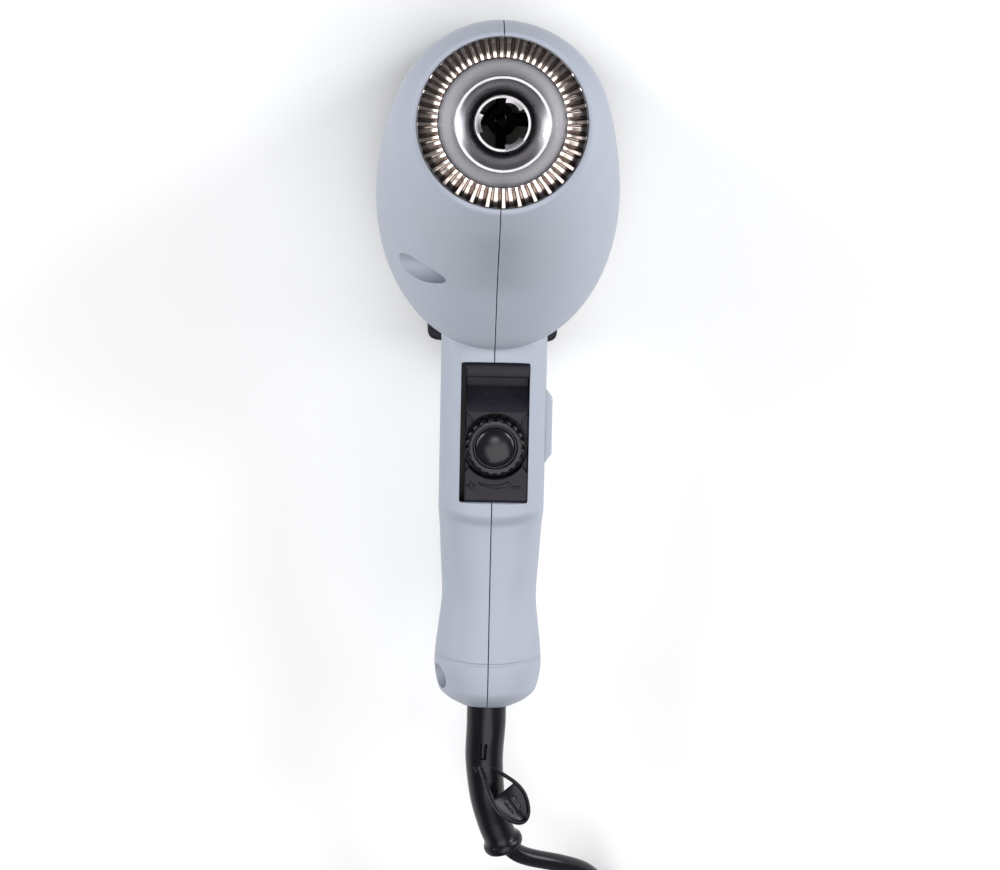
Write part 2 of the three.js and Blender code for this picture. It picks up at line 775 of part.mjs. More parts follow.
// Rubber sleeve that guards the cord, with its captive flange, end lip and hanging loop.
function strainRelief() {
  const path = new THREE.CatmullRomCurve3(reliefLine, false, "centripetal");
  // Share of the way along the sleeve, and its radius there.
  const taper = reliefRadius - reliefWaist;
  const body = sleeve(path, [
    [0, reliefRadius],
    [0.2, reliefRadius],
    [0.4, reliefRadius - 0.25 * taper],
    [0.6, reliefRadius - 0.65 * taper],
    [0.8, reliefWaist],
    [0.9, reliefWaist],
    [0.95, reliefWaist + 0.3],
    [0.965, reliefLip],
    [0.985, reliefLip],
    [1, reliefLip - 0.6],
  ], 14);
  const bore = sleeve(boreLine(), boreShares().map((share) => [share, cordRadius + boreSlack]), 10);
  const flangeRadius = reliefRadius + flangeReach;
  const flangeDisc = new THREE.CylinderGeometry(flangeRadius, flangeRadius, flangeThickness, 24);
  const flange = solid(flangeDisc.translate(0, -(handleEnd - 4.6), exitHeight));
  return surface(cut(add(body, flange, hangingLoop()), bore));
}

// The bore runs a little past both ends of the sleeve.
function boreLine() {
  const path = new THREE.CatmullRomCurve3(reliefLine, false, "centripetal");
  const start = reliefLine[0].clone().addScaledVector(path.getTangentAt(0), -2);
  const end = reliefLine[reliefLine.length - 1].clone().addScaledVector(path.getTangentAt(1), 2);
  return new THREE.CatmullRomCurve3([start, ...reliefLine, end], false, "centripetal");
}

const boreShares = () => [0, 0.1, 0.25, 0.4, 0.55, 0.7, 0.85, 1];

// Leaf-shaped loop that springs from the front of the sleeve, with a slot through it.
function hangingLoop() {
  // Corners as (across, along) from the loop's root.
  const leaf = outlineOf([
    [-2, 0],
    [3, 0],
    [4.2, 6],
    [6, 12],
    [6.8, 18],
    [6, 23],
    [3.4, 26.5],
    [-3.4, 26.5],
    [-6, 23],
    [-6.8, 18],
    [-6, 12],
    [-4, 6],
  ]);
  const slot = [[0.4, 4.5], [-4.1, 11.5], [-4.2, 19.8], [4.2, 19.8], [4.1, 11.5]];
  leaf.holes.push(new THREE.Path(slot.map(([x, y]) => new THREE.Vector2(x, y))));
  const flat = prism(leaf, -leafThickness / 2, leafThickness / 2);
  const root = v(-1.5, -(handleEnd + 25), exitHeight + 2.6);
  const along = v(0.62, -0.76, 0.12).normalize();
  const out = v(0.35, 0.2, 1).normalize();
  const across = new THREE.Vector3().crossVectors(along, out).normalize();
  const face = new THREE.Vector3().crossVectors(across, along);
  const place = new THREE.Matrix4().makeBasis(across, along, face).setPosition(root);
  return solid(flat.applyMatrix4(place));
}

// Mains cord from the clamp through the sleeve, down to the floor and up to the coil's side.
function mainsCord() {
  const start = v(0, -(clampAlong - 7), exitHeight);
  const rim = coilCentre.clone().add(v(0, 0, cordRadius + 0.1));
  const outward = v(Math.cos(coilBearing), Math.sin(coilBearing), 0);
  const reach = (distance) => rim.clone().addScaledVector(outward, coilOuter() + distance);
  const past = (x, along, drop) => v(x, -(handleEnd + along), exitHeight - drop);
  const points = [
    start,
    ...reliefLine,
    past(16, 65, 16.6),
    past(25.5, 68.4, 21.6),
    past(35, 71.6, 28.4),
    past(45, 76, 37.5),
    reach(8).setZ(cordRadius + 2),
    reach(4),
    reach(gap),
  ];
  return tube(points, cordRadius, 52, 8);
}

const coilOuter = () => coilRadius + coilHalfWidth;

const cordCoil = () => {
  const inner = coilRadius - coilHalfWidth;
  const round = coilEdge;
  return turned([
    [inner + round, 0],
    [coilOuter() - round, 0],
    [coilOuter(), round],
    [coilOuter(), coilHeight - round],
    [coilOuter() - round, coilHeight],
    [inner + round, coilHeight],
    [inner, coilHeight - round],
    [inner, round],
  ], 32);
};

// A tie round the bundle of turns on the coil's -X side, open underneath.
function coilTie() {
  const half = coilHalfWidth + gap;
  const long = tieHalfWidth;
  const band = solid(box(-half - 1, half + 1, -long, long, 0, coilHeight + gap + 1));
  const bundle = solid(box(-half, half, -long - 1, long + 1, -1, coilHeight + gap));
  return surface(cut(band, bundle)).translate(-coilRadius, 0, 0);
}

// Two-pin plug: a moulded body with a tapering cord boot, lying on the coil.
function plugBody() {
  const shape = new THREE.Shape();
  const face = plugLength / 2;
  shape.moveTo(-face - plugBoot, -bootHalfWidth);
  shape.lineTo(-face, -plugHalfWidth * 0.62);
  shape.lineTo(-face + plugTaper, -plugHalfWidth);
  shape.lineTo(face, -plugHalfWidth);
  shape.lineTo(face, plugHalfWidth);
  shape.lineTo(-face + plugTaper, plugHalfWidth);
  shape.lineTo(-face, plugHalfWidth * 0.62);
  shape.lineTo(-face - plugBoot, bootHalfWidth);
  const block = solid(prism(shape, 0, plugHeight));
  const bite = solid(box(-farSide, -face, -farSide, farSide, bootHeight, farSide));
  const sockets = [-1, 1].map((side) =>
    solid(rodX(plugPinRadius + gap, face - pinSeat, face + 1, side * pinSpread, plugHeight / 2, 12)),
  );
  return surface(cut(block, bite, ...sockets));
}

const plugPin = (side) => {
  const face = plugLength / 2;
  return rodX(plugPinRadius, face - pinSeat + gap, face + pinLength, side * pinSpread, plugHeight / 2, 12);
};

const material = (color, roughness, metalness = 0) =>
  new THREE.MeshStandardMaterial({ color, roughness, metalness });

const finishes = {
  shell: [0xb9c2d0, 0.55],
  charcoal: [0x1c1b20, 0.5],
  rubber: [0x17161a, 0.75],
  gloss: [0x121116, 0.28],
  steel: [0xb4b0b2, 0.32, 1],
  warmSteel: [0xc4aca0, 0.3, 1],
  zinc: [0x9fa3a8, 0.4, 1],
  mica: [0xc9b88e, 0.6],
  ceramic: [0xe6e0d2, 0.7],
  wire: [0x8c8078, 0.45, 1],
  fan: [0x2b2c30, 0.45],
  copper: [0xb06a3c, 0.4, 1],
  magnet: [0x3a3a3d, 0.6],
  board: [0x2f5b3a, 0.5],
  white: [0xe9e7e0, 0.45],
  brown: [0x5a3420, 0.5],
  blue: [0x2c4f8a, 0.5],
};

const gun = new THREE.Group();
gun.name = "hot_air_gun";
// The frame's origin is under the middle of the gun, so the nozzle axis is moved up the Y axis.
const axisShift = (handleEnd - headTop) / 2;
gun.position.set(0, axisShift, 0);

function piece(name, geometry, finish, parent = gun) {
  const made = new THREE.Mesh(geometry, material(...finishes[finish]));
  made.name = name;
  parent.add(made);
  return made;
}

piece("left_shell", surface(leftShell()), "shell");
piece("right_shell", surface(rightShell()), "shell");
piece("rear_cover", surface(rearCover()), "charcoal");
padPlaces().forEach((place, i) => piece(`stand_pad_${i + 1}`, pad(place), "rubber"));
for (const { name, y, z, floor } of caseScrews) {
  piece(name, screw(screwReach, y, z, -floor - gap), "zinc");
}

piece("heat_shield_ring", heatShieldRing(), "warmSteel");
piece("heat_shield_disc", heatShieldDisc(), "steel");
piece("nozzle_collar", nozzleCollar(), "steel");
piece("nozzle_tab_ring", tabRing(), "steel");
piece("heater_tube", ring(tubeRadius - tubeWall, tubeRadius, ductEnd - 2, tubeEnd, 40), "steel");
piece("mica_sleeve", ring(micaRadius - micaWall, micaRadius, ductEnd + 2, headLength - 8, 32), "mica");
piece("ceramic_core", ceramicCore(), "ceramic");
piece("heating_coil", heatingCoil(), "wire");
piece("temperature_probe", rodZ(probeRadius, heaterStart + 6, headLength - 5, 0, 0, 12), "steel");
const cutout = [coreHub * 0.9, coreReach * 0.62];
piece("thermal_cutout", box(...cutout, ...cutout, heaterStart + 16, heaterStart + 28), "zinc");

piece("fan_duct", fanDuct(), "white");
piece("impeller", impeller(), "fan");
piece("motor_shaft", motorShaft(), "steel");
piece("motor_armature", armature(), "copper");
const commutator = ring(shaftRadius + gap, commutatorRadius, motorTop - 5.8, motorTop - 1.2, 16);
piece("commutator", commutator, "copper");
piece("motor_can", motorCan(), "zinc");
piece("motor_end_cap", ring(bearingRadius + gap, motorRadius, motorTop, motorTop + 3, 32), "white");
piece("motor_magnet_a", magnet(0), "magnet");
piece("motor_magnet_b", magnet(Math.PI), "magnet");
piece("motor_bearing_rear", bearing(motorBase - 0.4), "zinc");
piece("motor_bearing_front", bearing(motorTop + 0.2), "zinc");
const brush = [-brushHalfWidth, brushHalfWidth, motorTop - 5, motorTop - gap];
const [brushStart, brushEnd] = [commutatorRadius + gap, commutatorRadius + gap + brushLength];
piece("motor_brush_left", box(-brushEnd, -brushStart, ...brush), "magnet");
piece("motor_brush_right", box(brushStart, brushEnd, ...brush), "magnet");

const face = new THREE.Group();
face.name = "control_face";
face.position.set(controls.x, controls.y, controls.z);
face.rotation.x = handleLean;
gun.add(face);
piece("dial_bezel", dialBezel(), "charcoal", face);
piece("temperature_dial", temperatureDial(), "gloss", face);
piece("dial_axle", rodZ(axleRadius, -axleDepth, -1.8, 0, 0, 16), "zinc", face);
const pot = solid(box(-potHalf, potHalf, -potHalf, potHalf, -axleDepth - 4, -bezelDepth - gap));
const potHole = solid(rodZ(axleRadius + gap, -axleDepth - 1, 0, 0, 0, 16));
piece("dial_potentiometer", surface(cut(pot, potHole)), "blue", face);

const boardTop = boardHeight + boardThickness;
piece("control_board", box(-12, 12, -boardEnd, -boardStart, boardHeight, boardTop), "board");
piece("power_switch", powerSwitch(), "fan");
const button = piece("switch_button", switchButton(), "shell");
button.position.set(0, -buttonFromAxis, buttonHeight);

piece("cord_clamp", cordClamp(), "charcoal");
const clampTop = clampFace + gap + clampThickness;
[-1, 1].forEach((side, i) => {
  const made = screw(10, 0, exitHeight + side * clampSpread, -clampTop - gap).rotateZ(Math.PI);
  piece(`clamp_screw_${i + 1}`, made.translate(0, -clampAlong, 0), "zinc");
});
const lead = (side) =>
  tube([
    v(side * 1.6, -(clampAlong - 7.4), exitHeight),
    v(side * 3, -(clampAlong - 16), exitHeight + 0.5),
    v(side * 5, -(stepBottom + 22), exitHeight + 1),
    v(side * 6, -(boardEnd + 0.4), boardHeight + boardThickness / 2),
  ], leadRadius, 10, 6);
piece("lead_live", lead(-1), "brown");
piece("lead_neutral", lead(1), "blue");
piece("strain_relief", strainRelief(), "rubber");
piece("mains_cord", mainsCord(), "gloss");

const wound = new THREE.Group();
wound.name = "wound_cord";
wound.position.copy(coilCentre);
gun.add(wound);
piece("cord_coil", cordCoil(), "gloss", wound);
piece("coil_tie", coilTie(), "rubber", wound);
const plug = new THREE.Group();
plug.name = "plug";
// The plug lies on the coil with its pins towards -X.
plug.position.set(...plugPlace, coilHeight + gap);
plug.rotation.z = Math.PI;
wound.add(plug);
piece("plug_body", plugBody(), "rubber", plug);
piece("plug_pin_1", plugPin(-1), "steel", plug);
piece("plug_pin_2", plugPin(1), "steel", plug);

export default gun;
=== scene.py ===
import json
import math
import bpy
import bmesh
import numpy as np
from mathutils import Euler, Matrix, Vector


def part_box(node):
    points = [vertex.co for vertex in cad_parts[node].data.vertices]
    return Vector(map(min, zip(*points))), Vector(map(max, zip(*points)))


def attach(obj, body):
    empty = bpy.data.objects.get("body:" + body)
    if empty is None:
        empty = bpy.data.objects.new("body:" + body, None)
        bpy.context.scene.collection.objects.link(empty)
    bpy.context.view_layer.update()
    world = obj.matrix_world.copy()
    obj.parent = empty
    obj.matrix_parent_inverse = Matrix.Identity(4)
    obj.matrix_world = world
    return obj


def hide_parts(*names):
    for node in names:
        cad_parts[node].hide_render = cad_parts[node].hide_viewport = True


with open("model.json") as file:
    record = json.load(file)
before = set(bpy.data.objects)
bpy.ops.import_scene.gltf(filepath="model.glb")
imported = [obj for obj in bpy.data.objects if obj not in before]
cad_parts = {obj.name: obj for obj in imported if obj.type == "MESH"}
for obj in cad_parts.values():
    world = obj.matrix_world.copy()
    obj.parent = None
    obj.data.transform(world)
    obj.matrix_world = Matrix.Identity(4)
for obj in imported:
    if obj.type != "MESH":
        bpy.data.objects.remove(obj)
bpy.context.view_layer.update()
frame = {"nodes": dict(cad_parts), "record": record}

for leftover in ("Cube", "Light", "Camera"):
    if leftover in bpy.data.objects:
        bpy.data.objects.remove(bpy.data.objects[leftover])

# Lengths below are in millimetres, measured from the nozzle's axis: X across, Y up the head and Z
# from the floor.
millimetre = 0.001
collarLow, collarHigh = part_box("nozzle_collar")
axisY = (collarLow[1] + collarHigh[1]) / 2
fullTurn = 2 * math.pi
smallest = 0.001  # points closer than this are merged
pointSize = 1e-6  # a ring narrower than this is a point


# Points in millimetres about the nozzle's axis become metres in the model's own frame.
def toRow(points):
    return np.asarray(points, float) * millimetre + np.array([0.0, axisY, 0.0])


# Camera and cord come first, because the cord's unseen length is judged from the camera's view.
cameraSettings = {
    "place": (-0.01901, 0.13463, 1.36),
    "turn": (-0.122917, -0.014411, 0.019898),
    "lens": 126.74,
    "sensor": 36,
    "nearest": 0.05,
}


# A long lens high over the nozzle, looking almost straight down it.
def makeCamera(settings):
    data = bpy.data.cameras.new("camera")
    data.lens = settings["lens"]
    data.sensor_width = settings["sensor"]
    data.clip_start = settings["nearest"]
    camera = bpy.data.objects.new("camera", data)
    camera.location = settings["place"]
    camera.rotation_euler = Euler(settings["turn"], "XYZ")
    bpy.context.collection.objects.link(camera)
    bpy.context.scene.camera = camera


makeCamera(cameraSettings)
print("camera placed")


# A smooth curve through (knot, value) pairs: cubic pieces whose slopes are harmonic means,
# so it never overshoots.
def curveThrough(where, knots, values):
    knots = np.asarray(knots, float)
    values = np.asarray(values, float)
    where = np.asarray(where, float)
    step = np.diff(knots)
    slope = np.diff(values) / step
    turning = slope[:-1] * slope[1:] <= 0
    total = np.where(turning, 1.0, slope[:-1] + slope[1:])
    middle = np.where(turning, 0.0, 2 * slope[:-1] * slope[1:] / total)
    ends = np.concatenate([[slope[0]], middle, [slope[-1]]])
    i = np.clip(np.searchsorted(knots, where, side="right") - 1, 0, len(step) - 1)
    t = np.clip((where - knots[i]) / step[i], 0, 1)
    return (
        values[i] * (1 + 2 * t) * (1 - t) ** 2
        + step[i] * ends[i] * t * (1 - t) ** 2
        + values[i + 1] * t * t * (3 - 2 * t)
        + step[i] * ends[i + 1] * t * t * (t - 1)
    )


# Rises from 0 at low to 1 at high as 3 t^2 - 2 t^3.
def smoothStep(value, low, high):
    t = np.clip((value - low) / (high - low), 0, 1)
    return t * t * (3 - 2 * t)


# Quads between neighbouring rows and columns of a grid, wrapping round where it is closed.
def gridFaces(rows, columns, closedRows=False, closedColumns=True):
    r = np.arange(rows if closedRows else rows - 1)
    c = np.arange(columns if closedColumns else columns - 1)
    i, j = np.meshgrid(r, c, indexing="ij")
    i2, j2 = (i + 1) % rows, (j + 1) % columns
    quads = np.stack([i * columns + j, i * columns + j2, i2 * columns + j2, i2 * columns + j], -1)
    return quads.reshape(-1, 4)


# A mesh piece from points in millimetres and lists of point numbers.
def makeMesh(name, points, faces):
    mesh = bpy.data.meshes.new(name)
    mesh.from_pydata(toRow(points).tolist(), [], faces)
    piece = bpy.data.objects.new(name, mesh)
    bpy.context.collection.objects.link(piece)
    tidyMesh(piece)
    return piece


# Doubles merged, faces turned outwards, smooth shading with sharp edges kept by their angle.
def tidyMesh(piece, sharpAngle=32):
    work = bmesh.new()
    work.from_mesh(piece.data)
    bmesh.ops.remove_doubles(work, verts=work.verts, dist=smallest * millimetre)
    bmesh.ops.recalc_face_normals(work, faces=work.faces)
    work.to_mesh(piece.data)
    work.free()
    piece.data.shade_smooth()
    piece.data.set_sharp_from_angle(angle=math.radians(sharpAngle))


# A closed skin over a grid of rings, with its two end rings filled unless the rows wrap round.
def loftPiece(name, grid, closedRows=False):
    rows, columns = grid.shape[:2]
    faces = gridFaces(rows, columns, closedRows).tolist()
    if not closedRows and np.ptp(grid[0], axis=0).max() > pointSize:
        faces.append(list(range(columns))[::-1])
    if not closedRows and np.ptp(grid[-1], axis=0).max() > pointSize:
        faces.append(list(range((rows - 1) * columns, rows * columns)))
    return makeMesh(name, grid.reshape(-1, 3), faces)


# A profile of (radius, height) turned round a vertical axis: x = r cos a, y = r sin a. Waves may
# change the radius with the angle.
def turnedPiece(name, profile, centre=(0, 0), sides=192, closed=True, waves=None):
    profile = np.asarray(profile, float)
    angle = np.arange(sides) / sides * fullTurn
    radius = profile[:, :1] * np.ones_like(angle)
    if waves is not None:
        radius = radius * waves(profile[:, :1], profile[:, 1:], angle)
    height = profile[:, 1:] * np.ones_like(angle)
    grid = np.stack([centre[0] + radius * np.cos(angle), centre[1] + radius * np.sin(angle), height], -1)
    return loftPiece(name, grid, closedRows=closed)


# A plain block between two corners, used for cutting.
def boxPiece(name, low, high):
    x, y, z = np.meshgrid(*[[low[k], high[k]] for k in range(3)], indexing="ij")
    points = np.stack([x, y, z], -1).reshape(-1, 3)
    faces = [[0, 1, 3, 2], [4, 6, 7, 5], [0, 4, 5, 1], [2, 3, 7, 6], [0, 2, 6, 4], [1, 5, 7, 3]]
    return makeMesh(name, points, faces)


# A round rod from start to end.
def rodPiece(name, start, end, radius, sides=64):
    start, end = np.asarray(start, float), np.asarray(end, float)
    along = (end - start) / np.linalg.norm(end - start)
    side = np.cross(along, [0, 0, 1] if abs(along[2]) < 0.9 else [1, 0, 0])
    side /= np.linalg.norm(side)
    lift = np.cross(along, side)
    angle = np.arange(sides) / sides * fullTurn
    ring = radius * (np.cos(angle)[:, None] * side + np.sin(angle)[:, None] * lift)
    return loftPiece(name, np.stack([start + ring, end + ring]))


# The piece joined with, cut by or kept inside the others, which are then removed.
def combine(piece, others, operation):
    for other in others:
        step = piece.modifiers.new("cut", "BOOLEAN")
        step.operation = operation
        step.solver = "MANIFOLD"
        step.object = other
    bpy.context.view_layer.update()
    made = bpy.data.meshes.new_from_object(piece.evaluated_get(bpy.context.evaluated_depsgraph_get()))
    piece.modifiers.clear()
    old = piece.data
    piece.data = made
    made.name = piece.name
    bpy.data.meshes.remove(old)
    for other in others:
        mesh = other.data
        bpy.data.objects.remove(other)
        bpy.data.meshes.remove(mesh)
    return piece


# A second piece with its own copy of the mesh.
def copyPiece(piece, name):
    made = bpy.data.objects.new(name, piece.data.copy())
    bpy.context.collection.objects.link(made)
    return made


cordShape = {
    "diameter": 7.0,
    "start": [(0.6, -255.6, 48.9), (3.2, -267.6, 45.5), (8.3, -280.2, 41.5)],
    "drop": [(16, -285.2, 37.1), (25.5, -287.6, 32.2), (35, -291.2, 25.4), (45, -296.8, 16)],
    "coilCentre": (22, -354.6),
    "coilRadius": 40.5,
    "turnGap": 7.1,
    "turnsPerLayer": 3,
    "enterAngle": 58,
    "firstTurn": 0.06,
    "laneChange": 0.78,
    "pointsPerTurn": 16,
    "overFloor": 0.1,
    "tailTurn": 40.3,
    "tailRise": 10.3,
    "tailBend": 29.5,
    "boot": [4.0, 9.0],
    "length": 1.7,
}


# Down from the sleeve, round three turns inwards on the floor, three outwards on top, then up over
# them and round into the plug. A turn keeps one radius and changes lane in its last fifth.
def cordRoute(shape):
    pitch = shape["turnGap"]
    layer = shape["turnsPerLayer"]
    enter = math.radians(shape["enterAngle"])
    turns = np.arange(shape["firstTurn"], 2 * layer + 0.001, 1 / shape["pointsPerTurn"])
    whole = np.floor(turns)
    walked = whole + smoothStep(turns - whole, shape["laneChange"], 1.0)
    inwards = np.minimum(walked, layer - 1)
    outwards = 2 * layer - 1 - np.minimum(walked, 2 * layer - 1)
    lane = np.where(whole < layer, inwards, outwards)
    ring = shape["coilRadius"] + pitch * (1 - lane)
    climbed = smoothStep(turns, layer - 1 + shape["laneChange"], layer)
    height = shape["diameter"] / 2 + shape["overFloor"] + pitch * climbed
    angle = enter - turns * fullTurn
    cx, cy = shape["coilCentre"]
    coil = np.stack([cx + ring * np.cos(angle), cy + ring * np.sin(angle), height], -1)
    # The tail climbs over the top turns and swings in to the plug's boot.
    outer = shape["coilRadius"] + pitch
    climb = np.linspace(0.25, 1, 4)
    angles = enter - turns[-1] * fullTurn - climb * math.radians(shape["tailTurn"])
    lift = height[-1] + shape["tailRise"] * smoothStep(climb, 0, 1)
    tail = np.stack([cx + outer * np.cos(angles), cy + outer * np.sin(angles), lift], -1)
    facing = angles[-1]
    bendRadius = shape["tailBend"]
    swing = np.linspace(0.12, 1, 7) * (facing + math.pi / 2 + fullTurn * layer * 2)
    pivotX = cx + (outer - bendRadius) * math.cos(facing)
    pivotY = cy + (outer - bendRadius) * math.sin(facing)
    bendX = pivotX + bendRadius * np.cos(facing - swing)
    bendY = pivotY + bendRadius * np.sin(facing - swing)
    bend = np.stack([bendX, bendY, np.full(len(swing), lift[-1])], -1)
    boot = bend[-1] + np.array([[-reach, 0, 0] for reach in shape["boot"]])
    return np.concatenate([shape["start"], shape["drop"], coil, tail, bend, boot])


# A tube along a smooth curve near the given points. Returns the piece and the points the tube follows.
def curvePiece(name, points, radius):
    data = bpy.data.curves.new(name, "CURVE")
    data.dimensions = "3D"
    data.bevel_resolution = 5
    data.use_fill_caps = True
    data.resolution_u = 6
    spline = data.splines.new("NURBS")
    spline.points.add(len(points) - 1)
    row = toRow(points)
    spline.points.foreach_set("co", np.column_stack([row, np.ones(len(row))]).ravel())
    spline.order_u = 4
    spline.use_endpoint_u = True
    line = bpy.data.objects.new(name + "_line", data)
    bpy.context.collection.objects.link(line)
    graph = bpy.context.evaluated_depsgraph_get()
    thin = bpy.data.meshes.new_from_object(line.evaluated_get(graph))
    path = np.empty(len(thin.vertices) * 3, np.float32)
    thin.vertices.foreach_get("co", path)
    data.bevel_depth = radius * millimetre
    line.update_tag()
    graph.update()
    mesh = bpy.data.meshes.new_from_object(line.evaluated_get(graph))
    bpy.data.objects.remove(line)
    mesh.shade_smooth()
    piece = bpy.data.objects.new(name, mesh)
    bpy.context.collection.objects.link(piece)
    return piece, path.reshape(-1, 3)


route = cordRoute(cordShape)
cordPiece, cordPath = curvePiece("power_cord", route, cordShape["diameter"] / 2)
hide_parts("mains_cord", "cord_coil")
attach(cordPiece, "housing")
print("cord laid", round(float(np.linalg.norm(np.diff(route, axis=0), axis=1).sum())), "mm")

headShape = {
    "length": 160,
    "rim": 14.3,
    "lip": 31,
    "halfWidth": 44.3,
    "top": 34.6,
    "low": 86,
    "wall": 2.5,
    "cavityEnd": 151.3,
    "shares": [0, 0.14, 0.35, 0.49, 0.57, 0.66, 0.8, 0.92, 1],
    "half": [0.78, 0.93, 1, 0.98, 0.93, 0.84, 0.66, 0.46, 0],
    "widest": [-24, -27, -28.5, -27.5, -24.5, -19.5, -9.5, -2.5, 0],
    "rise": [0.4, 0.7, 0.85, 0.9, 0.97, 1, 0.99, 0.85, 0],
    "drop": [0.8, 0.93, 1, 0.975, 0.79, 0.54, 0.31, 0.155, 0],
    "power": 2.04,
    "lipBelow": [0.55, 0.2, 0.03],
    "lipInset": [0.05, 0.28, 0.75],
}
handleShape = {
    "front": 85,
    "depth": 42,
    "lean": 0.0545,
    "halfWidth": 19.5,
    "along": [60, 145.2, 150.3, 164.8, 179.25, 190.7, 202.2, 205, 214.8, 218.2, 221.6],
    "half": [0, 0, -0.4, -1.2, -1.9, -0.8, 0.4, 0.5, -1.2, -4.4, -10],
    "sink": [0, 0, 2.6, 4.6, 5.6, 5.1, 4, 3.9, 5.3, 7.8, 14],
    "lift": [0, 0, 0, 0.4, 0.8, 0, -1.2, -1.3, 0.2, 3, 8.6],
    "power": [4.5, 4.5, 3.6, 3, 2.6, 2.6, 2.6, 2.6, 2.6, 2.6, 2.4],
    "bowAlong": [100, 150, 203, 221.6],
    "bow": [0, 3.4, 2.0, 0],
    "groove": 203,
    "grooveHalf": 0.55,
    "grooveDepth": 0.55,
    "rows": [(142, 20), (160, 40), (199, 26), (207, 34)],
    "lastRows": 22,
}
seamHalf = 0.17  # half the gap between the two shells
seamSteps = np.array([0.0, 0.12, 0.26, 0.45, 0.8])
seamDips = np.array([0.35, 0.26, 0.09, 0.02, 0.0])  # how far the edges along the seam are rounded off


# Directions round an outline from its lowest point up the +X side and down the -X side, with
# close steps at the seam. across and over are the outline's half sizes and power its roundness.
def seamDirections(across, over, under, power, count):
    def seamAngle(reach):
        rise = reach[:, None] * (1 - (seamSteps / across[:, None]) ** power[:, None]) ** (1 / power[:, None])
        return np.arctan2(rise, seamSteps)

    top, low = seamAngle(over), -seamAngle(under)
    share = np.linspace(0, 1, count + 2)[1:-1]
    middle = low[:, -1:] + share * (top[:, -1:] - low[:, -1:])
    half = np.concatenate([low, middle, top[:, ::-1]], 1)
    dips = np.concatenate([seamDips, np.zeros(count), seamDips[::-1]])
    return (
        np.concatenate([half, np.pi - half[:, -2:0:-1]], 1),
        np.concatenate([dips, dips[-2:0:-1]]),
    )


# One rounded outline per row: r = ((|cos a| / across)^n + (|sin a| / reach)^n)^(-1/n).
def roundedRadius(angle, across, reach, power):
    c, s = np.abs(np.cos(angle)), np.abs(np.sin(angle))
    return ((c / across) ** power + (s / reach) ** power) ** (-1 / power)


# The egg-shaped head as rings from the rear rim to the lip, pulled in by inset.
def headGrid(shape, inset=0.0, low=None, high=None, count=60):
    low = shape["rim"] if low is None else low
    high = shape["length"] if high is None else high
    heights = np.linspace(low, high, 74)
    insets = np.full(len(heights), float(inset))
    if inset == 0:  # the lip is rounded off over its last part
        heights = np.concatenate([heights[:-1], high - np.array(shape["lipBelow"])])
        insets = np.concatenate([insets[:-1], shape["lipInset"]])
    share = (heights - shape["rim"]) / (shape["length"] - shape["rim"])
    lip = shape["lip"]

    def station(name):
        return curveThrough(share, shape["shares"], shape[name])

    half = lip + station("half") * (shape["halfWidth"] - lip)
    widest = station("widest")
    top = lip + station("rise") * (shape["top"] - lip)
    drop = -lip - station("drop") * (shape["low"] - lip)
    across, over, under = half - insets, top - insets - widest, widest - drop - insets
    power = np.full(len(heights), shape["power"])
    angle, dips = seamDirections(across, over, under, power, count)
    reach = np.where(np.sin(angle) > 0, over[:, None], under[:, None])
    radius = roundedRadius(angle, across[:, None], reach, power[:, None]) - (dips if inset == 0 else 0)
    x = radius * np.cos(angle)
    y = widest[:, None] + radius * np.sin(angle)
    return np.stack([x, y, heights[:, None] * np.ones_like(x)], -1)


# The handle as rounded rings across it; the front steps down along a bowed line below the dial.
def handleGrid(shape, inset=0.0, count=44):
    first, last = shape["along"][0], shape["along"][-1]
    starts = [first] + [end for end, rows in shape["rows"]]
    spans = [np.linspace(a, b, rows)[:-1] for a, (b, rows) in zip(starts, shape["rows"])]
    along = np.concatenate(spans + [np.linspace(starts[-1], last, shape["lastRows"])])
    if inset:
        along[-1] -= inset

    def station(name, where):
        return curveThrough(where, shape["along"], shape[name])

    base = np.full(len(along), float(shape["halfWidth"]))
    half = base + station("half", along) - inset
    power = station("power", along)
    reach = np.full(len(along), shape["depth"] / 2)
    angle, dips = seamDirections(half, reach, reach, power, count)
    radius = roundedRadius(angle, half[:, None], reach[:, None], power[:, None])
    spread = np.clip(np.abs(radius * np.cos(angle)) / half[:, None], 0, 1) ** 2
    bow = curveThrough(along, shape["bowAlong"], shape["bow"])[:, None]
    felt = along[:, None] + bow * (spread - (0.35 if inset == 0 else 0))
    felt = np.clip(felt, first, last)
    line = shape["front"] - shape["lean"] * (along - headShape["low"])
    front = line[:, None] - station("sink", felt)
    rear = (line - shape["depth"] + station("lift", along))[:, None]
    middle, deep = (front + rear) / 2, (front - rear) / 2 - inset
    radius = roundedRadius(angle, half[:, None], deep, power[:, None])
    if inset == 0:
        away = (felt - shape["groove"]) / shape["grooveHalf"]
        radius = radius - dips - shape["grooveDepth"] * np.exp(-away ** 4)
    x = radius * np.cos(angle)
    z = middle + radius * np.sin(angle)
    return np.stack([x, -along[:, None] * np.ones_like(x), z], -1)


